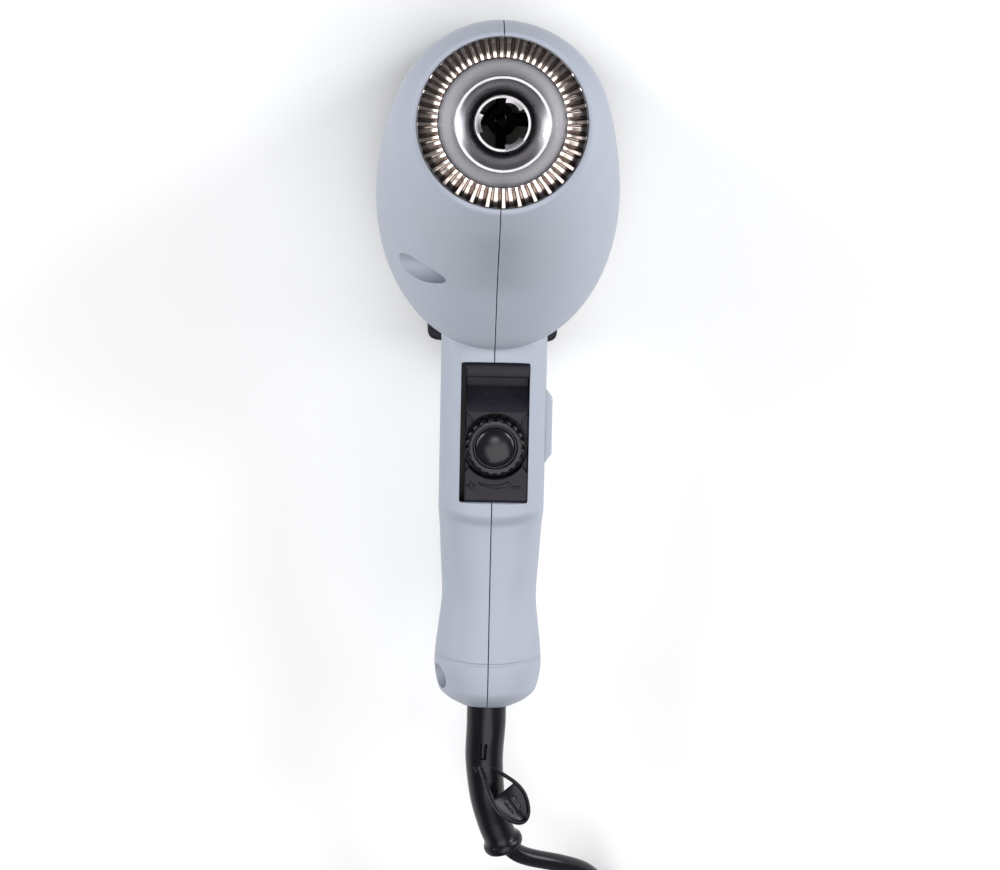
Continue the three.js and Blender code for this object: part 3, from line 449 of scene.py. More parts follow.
# Each case screw's place along Y, its height, its recess's radius and the recess floor's depth in -X.
caseScrews = [
    (-54, 105.6, 5.3, 13),
    (28.0, 75, 3.6, 12),
    (-60, 31, 4.6, 14),
    (-159.3, 47, 4.6, 9),
    (-209.6, 64, 4.6, 9),
]
openingShape = {
    "low": (-12.0, -141.6),
    "high": (13.1, -89.7),
    "middle": 115,
    "floor": 70,
    "corner": 0.8,
    "flare": [(-1.3, 0.0), (-0.4, 0.12), (0.1, 0.45), (4, 3.6)],
}
housingShape = {
    "boreProfile": [(0, -12), (29.3, -12), (29.3, -0.5), (29.55, -0.1), (30.2, 1), (0, 1)],
    "postWall": 1.6,
    "postPast": 2,
    "exit": (0, -221.6, 53.5),
    "exitRadius": 7.8,
    "exitReach": 10,
    "switchSlot": ((15, -122.1, 60.6), (24, -107.1, 65.4)),
    "far": 300,
}


# A block whose corners are rounded and whose sides flare out where it meets the surface. Its upper
# rings lean with the handle's front.
def openingCutter(shape, frontAt):
    levels = [(shape["floor"], 0.0)] + [(frontAt + rise, flare) for rise, flare in shape["flare"]]
    angle = np.linspace(0, fullTurn, 64, endpoint=False) + 0.01
    (x0, y0), (x1, y1) = shape["low"], shape["high"]
    centre = np.array([(x0 + x1) / 2, (y0 + y1) / 2])
    r = shape["corner"]
    rings = []
    for height, flare in levels:
        half = np.array([(x1 - x0) / 2, (y1 - y0) / 2]) + flare
        signs = np.stack([np.sign(np.cos(angle)), np.sign(np.sin(angle))], -1)
        corner = signs * [half[0] - r, half[1] - r]
        point = centre + corner + r * np.stack([np.cos(angle), np.sin(angle)], -1)
        lean = handleShape["lean"] if height > shape["floor"] else 0
        rings.append(np.concatenate([point, height - lean * (-point[:, 1:] - shape["middle"])], 1))
    return loftPiece("opening_cutter", np.stack(rings))


# The head and the handle joined, hollowed, bored for the nozzle, the screws, the cord and the
# controls, and parted along the seam.
def makeHousing(shape):
    wall, lip, far = headShape["wall"], headShape["length"], shape["far"]
    outer = loftPiece("housing_outer", headGrid(headShape))
    combine(outer, [loftPiece("handle_outer", handleGrid(handleShape))], "UNION")
    hollowHead = headGrid(headShape, wall, headShape["rim"] - 1, headShape["cavityEnd"], 24)
    hollow = loftPiece("hollow", hollowHead)
    combine(hollow, [loftPiece("handle_hollow", handleGrid(handleShape, wall, 20))], "UNION")
    posts, wells = [], []
    for y, z, well, floor in caseScrews:
        postEnd = (-floor + shape["postPast"], y, z)
        posts.append(rodPiece("post", (-70, y, z), postEnd, well + shape["postWall"]))
        wells.append(rodPiece("well", (-70, y, z), (-floor, y, z), well))
    combine(hollow, posts, "DIFFERENCE")
    boreProfile = [(radius, lip + height) for radius, height in shape["boreProfile"]]
    bore = turnedPiece("bore", boreProfile, closed=False)
    x, y, z = shape["exit"]
    reach = shape["exitReach"]
    exitHole = rodPiece("exit_hole", (x, y - reach, z), (x, y + reach, z), shape["exitRadius"])
    front = handleShape["front"] - handleShape["lean"] * (openingShape["middle"] - headShape["low"])
    opening = openingCutter(openingShape, front)
    combine(outer, [hollow, bore, exitHole, opening] + wells, "DIFFERENCE")
    right = copyPiece(outer, "right_shell_skin")
    combine(right, [boxPiece("keep", (seamHalf, -far, 0), (far, far, far))], "INTERSECT")
    combine(right, [boxPiece("slot", *shape["switchSlot"])], "DIFFERENCE")
    left = outer
    left.name = "left_shell_skin"
    combine(left, [boxPiece("keep", (-far, -far, 0), (-seamHalf, far, far))], "INTERSECT")
    for piece in (left, right):
        tidyMesh(piece, 30)
    return left, right


leftSkin, rightSkin = makeHousing(housingShape)
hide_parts("left_shell")
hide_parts("right_shell")
for skin in (leftSkin, rightSkin):
    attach(skin, "housing")
print("housing made", len(leftSkin.data.polygons), len(rightSkin.data.polygons))


faceShape = {"centre": (0.8, -120.7, 82.709), "lean": 0.0545}


# A finished mesh's points, in millimetres, put through a change of place.
def movePoints(piece, change):
    flat = np.empty(len(piece.data.vertices) * 3)
    piece.data.vertices.foreach_get("co", flat)
    x, y, z = ((flat.reshape(-1, 3) - [0, axisY, 0]) / millimetre).T
    piece.data.vertices.foreach_set("co", toRow(change(x, y, z)).ravel())
    piece.data.update()
    return piece


# From the dial's own frame (X across, Y up the handle, Z out) to its place: a small turn about X
# and a shift.
def placeOnFace(piece, shape=faceShape):
    c, s = math.cos(shape["lean"]), math.sin(shape["lean"])

    def leaned(x, y, z):
        return np.stack([x, y * c - z * s, y * s + z * c], -1) + shape["centre"]

    return movePoints(piece, leaned)


# A block whose top follows heights over a grid of u and v, with upright walls down to a floor.
def heightBlock(name, u, v, heights, floor):
    rows, columns = heights.shape
    top = np.stack(np.broadcast_arrays(u[None, :], v[:, None], heights), -1).reshape(-1, 3)
    index = np.arange(rows * columns).reshape(rows, columns)
    border = np.concatenate([index[0, :-1], index[:-1, -1], index[-1, :0:-1], index[:0:-1, 0]])
    low = top[border].copy()
    low[:, 2] = floor
    under = rows * columns + np.arange(len(border))
    walls = np.stack([border, under, np.roll(under, -1), np.roll(border, -1)], -1)
    faces = gridFaces(rows, columns, closedColumns=False).tolist() + walls.tolist() + [under.tolist()]
    return makeMesh(name, np.concatenate([top, low]), faces)


insertShape = {
    "left": -10.95,
    "right": 12.1,
    "low": -20.8,
    "high": 30.8,
    "floor": -9,
    "well": 12.1,
    "wellFloor": -6.2,
    "profile": [
        (-20.8, -1.3), (-20.3, -0.7), (-19.6, -0.45), (-10, -0.5), (12.4, -0.75), (14.3, -1.6), (16.6, -3.6),
        (19.2, -6.0), (21.8, -7.6), (24.2, -7.8), (25.2, -7.4), (25.5, -0.75), (26.3, -0.15), (28.1, 0.2),
        (29.7, 0.05), (30.4, -0.3), (30.8, -1.0),
    ],
    "barEdge": [25.2, 25.28, 25.42, 25.5],
    "pocketDepth": 1.5,
    "pocketWidth": 2.6,
    "pocketUpper": (9.8, 1.35),
    "pocketLower": (-6.4, -1.45),
    "edgeWidth": 0.45,
    "edgeDrop": 0.35,
    "wellEdge": [(0, -1.2), (0.35, -0.5), (1.5, 9)],
    "axleHole": 3.5,
    "markHeight": 0.45,
    "markHalf": 0.42,
    "markSlope": 0.15,
    "plus": [((-9.7, -14.6), (-7.1, -14.6)), ((-8.4, -15.9), (-8.4, -13.3))],
    "minus": [((6.9, -15.1), (9.3, -15.1))],
    "arcRadius": 13.9,
    "arcCentre": -1,
    "arcEnds": (-114, -66),
    "arcWidths": [(-112, 0.3), (-70, 0.85)],
    "arcSlope": 0.18,
}


# Distance from each grid point to a line between two points, for the raised marks.
def lineDistance(x, y, start, end):
    dx, dy = end[0] - start[0], end[1] - start[1]
    t = np.clip(((x - start[0]) * dx + (y - start[1]) * dy) / (dx * dx + dy * dy), 0, 1)
    return np.hypot(x - start[0] - t * dx, y - start[1] - t * dy)


# The low relief, from 0 to 1: a plus and a minus of round-ended lines, and an arc that widens.
def insertMarks(shape, x, y):
    fromCentre = y - shape["arcCentre"]
    radius, angle = np.hypot(x, fromCentre), np.degrees(np.arctan2(fromCentre, x))
    width = np.interp(angle, *np.transpose(shape["arcWidths"]))
    inArc = (angle > shape["arcEnds"][0]) & (angle < shape["arcEnds"][1])
    marks = np.clip((width - np.abs(radius - shape["arcRadius"])) / shape["arcSlope"], 0, 1) * inArc
    for start, end in shape["plus"] + shape["minus"]:
        line = (shape["markHalf"] - lineDistance(x, y, start, end)) / shape["markSlope"]
        marks = np.maximum(marks, np.clip(line, 0, 1))
    return marks


# Two sunk corners on each long side, from 0 to 1, whose inner edges run in a slant past the dial.
def insertPockets(shape, y, side):
    slant = shape["pocketWidth"] - np.clip(side, 0, shape["pocketWidth"])
    upper = shape["pocketUpper"][0] + slant * shape["pocketUpper"][1]
    lower = shape["pocketLower"][0] + slant * shape["pocketLower"][1]
    inside = np.minimum(upper - y, y - lower)
    return smoothStep(inside, 0, 0.35) * smoothStep(shape["pocketWidth"] - side, 0, 0.3)


# The insert: a height over (u, v) from its side profile, less the pockets and the bevelled long
# edges, plus the marks. The dial's well and the axle's hole are cut out of it.
def makeInsert(shape):
    u = np.linspace(shape["left"], shape["right"], 130)
    v = np.linspace(shape["low"], shape["high"], 230)
    v = np.unique(np.concatenate([v, shape["barEdge"]]))
    x, y = np.meshgrid(u, v)
    heights = curveThrough(y, *np.transpose(shape["profile"]))
    side = np.minimum(x - shape["left"], shape["right"] - x)
    heights -= shape["pocketDepth"] * insertPockets(shape, y, side)
    heights -= shape["edgeDrop"] * np.clip(1 - side / shape["edgeWidth"], 0, 1) ** 2
    heights += shape["markHeight"] * insertMarks(shape, x, y)
    block = heightBlock("dial_insert", u, v, heights, shape["floor"])
    radius = shape["well"]
    bottom = [(0, shape["wellFloor"]), (radius, shape["wellFloor"])]
    edge = [(radius + out, height) for out, height in shape["wellEdge"]]
    top = [(0, shape["wellEdge"][-1][1])]
    well = turnedPiece("well_cutter", bottom + edge + top, closed=False)
    hole = rodPiece("hole_cutter", (0, 0, -20), (0, 0, -3), shape["axleHole"])
    combine(block, [well, hole], "DIFFERENCE")
    tidyMesh(block, 30)
    return placeOnFace(block)


dialShape = {
    "flutes": 20,
    "fluteDepth": 0.085,
    "fluteFrom": 9.3,
    "fluteTo": 10.7,
    "fluteSharpness": 2.2,
    "socket": [(0, -1.5), (3.3, -1.5), (3.3, -5.8)],
    "rim": [
        (10.8, -5.8), (11, -5.6), (11, -2), (11, -0.4), (10.95, 0.15), (10.75, 0.6), (10.4, 0.95),
        (9.9, 1.15), (9.2, 1.25), (8.5, 1.28), (8.25, 1.22), (8.1, 1.0),
    ],
    "groove": [(8.0, 0.65), (7.8, 0.5), (7.5, 0.5), (7.3, 0.65), (7.2, 1.0)],
    "dome": [
        (7.05, 1.3), (6.7, 1.58), (6.1, 1.88), (5.3, 2.17), (4.4, 2.41), (3.4, 2.6), (2.3, 2.72), (1.1, 2.78),
        (0, 2.8),
    ],
}


# Flutes only bite the outer wall: the radius drops in narrow scallops, cos(20 a) raised to a power.
def dialWaves(radius, height, angle):
    bite = (0.5 + 0.5 * np.cos(dialShape["flutes"] * angle)) ** dialShape["fluteSharpness"]
    outer = smoothStep(radius, dialShape["fluteFrom"], dialShape["fluteTo"])
    return 1 - dialShape["fluteDepth"] * bite * outer


# The dial: its socket, rim, groove and dome in one profile, turned and fluted.
def makeDial(shape):
    profile = shape["socket"] + shape["rim"] + shape["groove"] + shape["dome"]
    return placeOnFace(turnedPiece("dial_knob", profile, sides=360, closed=False, waves=dialWaves))


insert = makeInsert(insertShape)
dial = makeDial(dialShape)
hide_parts("dial_bezel")
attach(insert, "housing")
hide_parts("temperature_dial")
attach(dial, "dial")

buttonShape = {
    "along": -114.6,
    "height": 63,
    "base": 19.75,
    "proud": 2.2,
    "length": 26.4,
    "flat": 20.1,
    "width": 14,
    "sideRounding": 1.2,
    "ribPitch": 4,
    "ribHalf": 0.45,
    "ribDepth": 0.3,
    "ribArea": (9, 5),
    "stemStart": 11.1,
    "stemHalf": (4, 2),
}


# The slide button: a thumb plate with sloped ends, long edges rounded as a quarter circle, and
# shallow grip grooves that are bell curves across it. Its stem goes in through the slot.
def makeButton(shape):
    halfLength, halfWidth = shape["length"] / 2, shape["width"] / 2
    y = np.linspace(-halfLength, halfLength, 150)
    z = np.linspace(-halfWidth, halfWidth, 50)
    across, along = np.meshgrid(z, y)
    slope = np.clip((halfLength - np.abs(along)) / (halfLength - shape["flat"] / 2), 0, 1)
    edge = np.clip((halfWidth - np.abs(across)) / shape["sideRounding"], 0, 1)
    rise = shape["proud"] * slope * np.sqrt(1 - (1 - edge) ** 2)
    halfPitch = shape["ribPitch"] / 2
    fromRib = np.mod(along + halfPitch, shape["ribPitch"]) - halfPitch
    inArea = (np.abs(along) < shape["ribArea"][0]) * (np.abs(across) < shape["ribArea"][1])
    rise -= shape["ribDepth"] * np.exp(-(fromRib / shape["ribHalf"]) ** 2) * inArea
    plate = heightBlock("slide_button", z, y, np.maximum(rise, 0.02), -0.25)

    def onSide(x, y, z):
        return np.stack([shape["base"] + z, shape["along"] + y, shape["height"] + x], -1)

    movePoints(plate, onSide)
    long, tall = shape["stemHalf"]
    stemLow = (shape["stemStart"], shape["along"] - long, shape["height"] - tall)
    stemHigh = (shape["base"], shape["along"] + long, shape["height"] + tall)
    combine(plate, [boxPiece("stem", stemLow, stemHigh)], "UNION")
    tidyMesh(plate, 30)
    return plate


button = makeButton(buttonShape)
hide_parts("switch_button")
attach(button, "switch")
print("controls made")

collarShape = {
    "bore": [(9.8, 160), (9.8, 167.6), (9.95, 168.1)],
    "crest": [(15.05, 172.8), (15.35, 173), (16.2, 173), (16.5, 172.8)],
    "cone": [(21.75, 163.5), (22, 163.1)],
    "skirt": [(22, 148), (20.9, 148), (20.9, 156.6), (15.8, 156.6)],
}
ringShape = {
    "inner": 22.3,
    "outer": 29,
    "high": 160,
    "waves": 32,
    "stepsPerWave": 30,
    "waveDepth": 5.5,
    "thickness": 0.6,
    "crest": (0.03, 0.29),
    "valley": (0.5, 0.82),
    "bend": 0.03,
    "innerEdge": 0.25,
    "outerEdge": (0.3, 0.18),
}
tabShape = {
    "ring": (8.7, 9.5, 160.5, 165.5),
    "halfAngle": 0.4,
    "outer": 9.2,
    "reach": 7.0,
    "bulge": 0.55,
    "outerHeights": (164.5, 165.6),
    "innerHeights": (165.1, 164.3),
}


# The collar: the countersunk bore, the narrow crest, the outer cone and the rear skirt, turned.
def makeCollar(shape):
    profile = shape["bore"] + shape["crest"] + shape["cone"] + shape["skirt"]
    return turnedPiece("collar_turned", profile, sides=256)


# The pleated ring: height over angle is a wave with a flat crest and a flat valley, given a thickness.
def makeRing(shape):
    steps = shape["waves"] * shape["stepsPerWave"]
    angle = np.arange(steps) / steps * fullTurn
    share = np.mod(angle / fullTurn * shape["waves"], 1)
    bend = shape["bend"]
    crestStart, crestEnd = shape["crest"]
    valleyStart, valleyEnd = shape["valley"]
    down = smoothStep(share, crestEnd - bend, valleyStart + bend)
    back = smoothStep(share, valleyEnd - bend, 1 + crestStart + bend)
    start = smoothStep(share + 1, valleyEnd - bend, 1 + crestStart + bend)
    level = np.where(share < crestEnd - bend, start, 1 - down + back)
    top = shape["high"] - shape["waveDepth"] * (1 - level)
    inner, outer, thickness = shape["inner"], shape["outer"], shape["thickness"]
    edgeIn, edgeDrop = shape["outerEdge"]
    corners = np.array([
        (inner, 0), (inner + shape["innerEdge"], 0), (outer - edgeIn, 0), (outer, -edgeDrop),
        (outer, -thickness), (inner, -thickness),
    ])
    radius = corners[:, 0] * np.ones((steps, 1))
    height = top[:, None] + corners[:, 1]
    grid = np.stack([radius * np.cos(angle)[:, None], radius * np.sin(angle)[:, None], height], -1)
    return loftPiece("shield_ring_sheet", grid, closedRows=True)


# The tab ring: a thin tube with three tabs that turn in. A tab's inner edge is a cosine over its angle.
def makeTabs(shape):
    inner, outer, low, high = shape["ring"]
    tube = [(inner, low), (outer, low), (outer, high), (inner, high)]
    body = turnedPiece("nozzle_tabs", tube, sides=120)
    tabs = []
    for third in (1, 3, 5):
        middle = third / 6 * fullTurn
        angle = middle + np.linspace(-shape["halfAngle"], shape["halfAngle"], 25)
        reach = shape["reach"] + shape["bulge"] * np.cos((angle - middle) * 3.5)
        corners = [(shape["outer"], height) for height in shape["outerHeights"]]
        corners += [(reach, height) for height in shape["innerHeights"]]
        rows = [np.stack([r * np.cos(angle), r * np.sin(angle), h + 0 * angle], -1) for r, h in corners]
        tabs.append(loftPiece("tab", np.stack(rows, 1)))
    return combine(body, tabs, "UNION")


collar = makeCollar(collarShape)
ringSheet = makeRing(ringShape)
tabs = makeTabs(tabShape)
tidyMesh(tabs, 30)
nozzlePieces = [
    (collar, "nozzle_collar", "steel"),
    (ringSheet, "heat_shield_ring", "warm_steel"),
    (tabs, "nozzle_tab_ring", "steel"),
]
for piece, node, finish in nozzlePieces:
    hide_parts(node)
    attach(piece, "housing")
print("nozzle made")

sleeveShape = {
    "line": [
        (0, -213.6, 53.5), (0, -227.6, 53.5), (-0.5, -241.6, 51.5), (0.6, -255.6, 48.9), (3.2, -267.6, 45.5),
        (8.3, -280.2, 41.5),
    ],
    "share": [0, 0.03, 0.05, 0.08, 0.1, 0.2, 0.4, 0.6, 0.8, 0.9, 0.93, 0.945, 0.96, 0.975, 0.99, 1],
    "radius": [9.6, 9.6, 9.3, 7.6, 7.4, 7.4, 7.2, 6.8, 6.3, 6.3, 6.5, 7.3, 7.7, 7.7, 7.2, 6.2],
    "smoothFrom": 0.9,
    "bore": 4.0,
    "slotLine": [(-0.85, -236.4, 60.4), (-1.0, -239.7, 60.0), (-1.1, -243, 59.4)],
    "slotHalf": (1.5, 1.9),
}
loopShape = {
    "root": (-2.6, -244.6, 55.2),
    "along": (0.62, -0.76, 0.1),
    "out": (0.35, 0.2, 1),
    "length": 28,
    "halfWidth": 6.6,
    "narrow": 0.42,
    "widestAt": 0.75,
    "arch": 2.6,
    "lift": 0.6,
    "rimHalf": (0.75, 1.25),
    "webFrom": 0.5,
    "webTo": 0.985,
    "webHalf": 0.45,
    "webDish": 1.5,
    "strokeHeight": 0.35,
    "strokeAt": 1.6,
    "strokeHalf": 0.4,
    "footLine": [(-4.2, -238.5, 54.4), (-3.4, -243.2, 55.6), (-1.6, -247.2, 56.9)],
    "footWide": 2.2,
    "footDeep": (1.0, 1.4),
}


# A smooth line through points: each coordinate follows curveThrough over the distance walked.
def walkLine(points, steps):
    points = np.asarray(points, float)
    walked = np.concatenate([[0], np.cumsum(np.linalg.norm(np.diff(points, axis=0), axis=1))])

    def placeAt(distance):
        distance = np.clip(distance, 0, walked[-1])
        return np.stack([curveThrough(distance, walked, points[:, k]) for k in range(3)], -1)

    where = steps * walked[-1]
    line = placeAt(where)
    tangent = placeAt(where + 0.5) - placeAt(where - 0.5)
    return line, tangent / np.linalg.norm(tangent, axis=1, keepdims=True)


# Rings square to a line, each ring an ellipse of its own two half sizes.
def ringsAlong(line, tangent, wide, deep, sides, up=(0, 0, 1)):
    side = np.cross(tangent, np.asarray(up, float))
    side /= np.linalg.norm(side, axis=1, keepdims=True)
    lift = np.cross(side, tangent)
    angle = np.arange(sides) / sides * fullTurn
    return (
        line[:, None, :]
        + np.multiply.outer(wide, np.cos(angle))[..., None] * side[:, None, :]
        + np.multiply.outer(deep, np.sin(angle))[..., None] * lift[:, None, :]
    )


# The sleeve: rings of changing radius out along the line, then the bore's rings back inside.
def makeSleeve(shape):
    share = np.unique(np.concatenate([np.linspace(0, 1, 70), shape["share"]]))
    line, tangent = walkLine(shape["line"], share)
    radius = np.interp(share, shape["share"], shape["radius"])
    smooth = curveThrough(share, shape["share"], shape["radius"])
    radius = np.where(share > shape["smoothFrom"], smooth, radius)
    outside = ringsAlong(line, tangent, radius, radius, 72)
    bore = np.full(len(share), shape["bore"])
    inside = ringsAlong(line, tangent, bore, bore, 72)[::-1]
    body = loftPiece("cord_sleeve", np.concatenate([outside, inside]), closedRows=True)
    slotLine, slotWay = walkLine(shape["slotLine"], np.linspace(0, 1, 12))
    wide, deep = shape["slotHalf"]
    slot = ringsAlong(slotLine, slotWay, np.full(12, wide), np.full(12, deep), 32)
    slot = loftPiece("slot_cutter", slot)
    return combine(body, [slot], "DIFFERENCE")


# The loop lies in its own frame: an oval rim swept round a teardrop, with a cupped web in its far half.
def makeLoop(shape):
    root = np.array(shape["root"], float)
    along = np.array(shape["along"], float)
    along /= np.linalg.norm(along)
    out = np.array(shape["out"], float)
    across = np.cross(along, out)
    across /= np.linalg.norm(across)
    face = np.cross(across, along)

    def place(points):
        return root + points[..., :1] * across + points[..., 1:2] * along + points[..., 2:] * face

    # Half the loop's width at a share of its length: a sine that stays narrow near the root.
    def spread(reach):
        narrow = shape["narrow"]
        return narrow + (1 - narrow) * smoothStep(reach, 0.0, shape["widestAt"])

    def archOver(reach):
        return shape["arch"] * np.sin(reach * math.pi) + shape["lift"]

    turn = np.arange(96) / 96 * fullTurn
    reach = (1 - np.cos(turn)) / 2
    wide = shape["halfWidth"] * np.sin(turn) * spread(reach)
    centre = np.stack([wide, reach * shape["length"], archOver(reach)], -1)
    tangent = np.roll(centre, -1, 0) - np.roll(centre, 1, 0)
    tangent /= np.linalg.norm(tangent, axis=1, keepdims=True)
    rimWide, rimDeep = shape["rimHalf"]
    rim = ringsAlong(centre, tangent, np.full(96, rimWide), np.full(96, rimDeep), 20)
    loop = loftPiece("hanging_loop_rim", place(rim), closedRows=True)
    # The web: a dished sheet between the rim's far half, with two raised strokes.
    s = np.linspace(shape["webFrom"], shape["webTo"], 34)
    t = np.linspace(-1, 1, 30)
    half = shape["halfWidth"] * np.sin(np.arccos(1 - 2 * s)) * spread(s)
    x = t[None, :] * half[:, None]
    y = (s * shape["length"])[:, None] + 0 * x
    farther = (s[:, None] - shape["webFrom"]) / (shape["webTo"] - shape["webFrom"])
    hollow = (1 - t[None, :] ** 2) * np.sin(farther * math.pi) ** 0.5
    dish = archOver(s)[:, None] - shape["webDish"] * hollow
    strokes = np.exp(-((np.abs(x) - shape["strokeAt"]) / shape["strokeHalf"]) ** 2)
    strokes = shape["strokeHeight"] * strokes * smoothStep(y, 17.5, 18.2) * (1 - smoothStep(y, 22.5, 23.2))
    upper = np.stack([x, y, dish + shape["webHalf"] + strokes], -1)
    lower = np.stack([x, y, dish - shape["webHalf"]], -1)[:, ::-1]
    web = loftPiece("loop_web", place(np.concatenate([upper, lower], 1)))
    # The foot joins the loop's narrow end to the sleeve.
    footLine, footWay = walkLine(shape["footLine"], np.linspace(0, 1, 10))
    footDeep = np.linspace(*shape["footDeep"], 10)
    foot = ringsAlong(footLine, footWay, np.full(10, shape["footWide"]), footDeep, 24)
    foot = loftPiece("loop_foot", foot)
    return combine(loop, [web, foot], "UNION")


sleeve = combine(makeSleeve(sleeveShape), [makeLoop(loopShape)], "UNION")
tidyMesh(sleeve, 35)
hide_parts("strain_relief")
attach(sleeve, "housing")

plugShape = {
    "centre": (8, -378.6, 15.3),
    "face": 18,
    "height": 17,
    "pinSpread": 8,
    "pinLength": 17,
    # Distance back from the centre, half width, half height and the middle's height.
    "stations": [
        (-30, 4.2, 4.2, 5.8), (-29, 4.9, 4.9, 5.8), (-24, 5.2, 5.2, 5.8), (-19, 5.6, 5.5, 5.8),
        (-17, 7.6, 6.2, 6.4), (-14, 10.6, 7.3, 7.4), (-10, 12.4, 8.1, 8.2), (-4, 12.9, 8.4, 8.5),
        (4, 13, 8.45, 8.5), (10, 12.9, 8.45, 8.5), (15, 12.9, 8.45, 8.5), (17.2, 12.7, 8.3, 8.5),
        (17.9, 12.2, 7.8, 8.5), (18.0, 11.4, 7.0, 8.5),
    ],
    "roundness": [(-30, 2), (-18, 2.2), (-8, 3.4), (18, 3.8)],
    "bore": (22, 31, 5.75, 3.55),
    "pin": [(0, 0), (1.0, 0.15), (1.6, 0.7), (1.95, 1.6), (2, 2.6), (2, 22.6), (0, 22.6)],
}


# A round-tipped pin along X: its profile turned about its own axis.
def makePin(shape, name, side):
    x0, y0, z0 = shape["centre"]
    tip = x0 - shape["face"] - shape["pinLength"]
    profile = np.array(shape["pin"], float)
    radius, along = profile[:, :1], profile[:, 1:]
    turn = np.arange(48) / 48 * fullTurn
    y = y0 + side * shape["pinSpread"] + radius * np.cos(turn)
    z = z0 + shape["height"] / 2 + radius * np.sin(turn)
    return loftPiece(name, np.stack([tip + along + 0 * turn, y, z], -1))


# The plug: rounded rings along X from the cord's boot to the flat face, with two round-tipped pins.
def makePlug(shape):
    x0, y0, z0 = shape["centre"]
    out, wide, tall, middle = np.array(shape["stations"], float).T[:, :, None]
    angle = np.arange(72) / 72 * fullTurn
    power = np.interp(out, *np.transpose(shape["roundness"]))
    radius = roundedRadius(angle[None, :], wide, tall, power)
    x = x0 - out + 0 * radius
    grid = np.stack([x, y0 + radius * np.cos(angle), z0 + middle + radius * np.sin(angle)], -1)
    body = loftPiece("plug_moulding", grid)
    near, far, high, boreRadius = shape["bore"]
    bore = rodPiece("cord_bore", (x0 + near, y0, z0 + high), (x0 + far, y0, z0 + high), boreRadius)
    combine(body, [bore], "DIFFERENCE")
    tidyMesh(body, 35)
    return body, [makePin(shape, "pin_a", -1), makePin(shape, "pin_b", 1)]


plugBody, plugPins = makePlug(plugShape)
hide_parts("plug_body")
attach(plugBody, "housing")
for pin, node in zip(plugPins, ("plug_pin_2", "plug_pin_1")):
    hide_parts(node)
    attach(pin, "housing")

print("sleeve, loop and plug made")

coverShape = {
    "low": 3.5,
    "high": 14.0,
    "wall": 2.5,
    "floor": 5.9,
    "centre": (0, -24.0),
    # How far each ring is pulled in and how high it lies above the low face, then the brim.
    "edge": [(1.6, 0), (0.9, 0.12), (0.35, 0.5), (0.05, 1.2), (0, 2)],
    "brim": 0.25,
    "slots": 12,
    "slotHalf": 1.5,
    "slotFrom": 7.6,
    "slotTo": 21,
    "barHalf": 25,
    "barFrom": -89,
    "barTo": -63,
    "barTop": 13,
    "barRounding": 1.4,
    "pads": [(-16, 21), (16, 21), (-19, -82), (19, -82)],
    "padRecess": 4.8,
    "padProfile": [
        (0, 4.2), (4.5, 4.2), (4.5, 0.7), (4.3, 0.2), (3.8, 0), (1.6, 0), (1.3, 0.5), (0, 0.5),
    ],
}


# A block with rounded corners and edges: superellipse rings that shrink near both ends.
def softBlock(name, low, high, rounding, power=9):
    low, high = np.array(low, float), np.array(high, float)
    centre, half = (low + high) / 2, (high - low) / 2
    turn = np.linspace(0, math.pi / 2, 6)
    step = rounding * (1 - np.cos(turn))
    rise = np.concatenate([low[2] + step, high[2] - step[::-1]])
    pull = rounding * np.concatenate([1 - np.sin(turn), 1 - np.sin(turn[::-1])])
    angle = np.arange(120) / 120 * fullTurn
    radius = roundedRadius(angle[None, :], (half[0] - pull)[:, None], (half[1] - pull)[:, None], power)
    x, y = centre[0] + radius * np.cos(angle), centre[1] + radius * np.sin(angle)
    return loftPiece(name, np.stack([x, y, rise[:, None] + 0 * radius], -1))


# The head's rear outline pulled in by each inset, one ring for each height.
def rimRings(insets, heights, count=60):
    ring = headGrid(headShape, 0, headShape["rim"], headShape["rim"] + 1, count)[0]
    centre = np.array(coverShape["centre"])
    flat = ring[:, :2] - centre
    size = np.linalg.norm(flat, axis=1, keepdims=True)
    rows = []
    for inset, height in zip(insets, heights):
        pulled = centre + flat * (1 - inset / size)
        rows.append(np.concatenate([pulled, np.full((len(flat), 1), height)], 1))
    return np.stack(rows)


# A cutter for one air slot: two half circles joined by straight sides, turned about the axis.
def airSlot(shape, turn):
    half = shape["slotHalf"]
    ends = np.linspace(0, fullTurn, 40, endpoint=False)
    middle = np.where(np.cos(ends) > 0, shape["slotTo"] - half, shape["slotFrom"] + half)
    x, y = middle + half * np.cos(ends), half * np.sin(ends)
    c, s = math.cos(turn), math.sin(turn)
    heights = (shape["low"] - 1, shape["floor"] + 1)
    rows = [np.stack([x * c - y * s, x * s + y * c, 0 * x + height], -1) for height in heights]
    return loftPiece("air_slot", np.stack(rows))


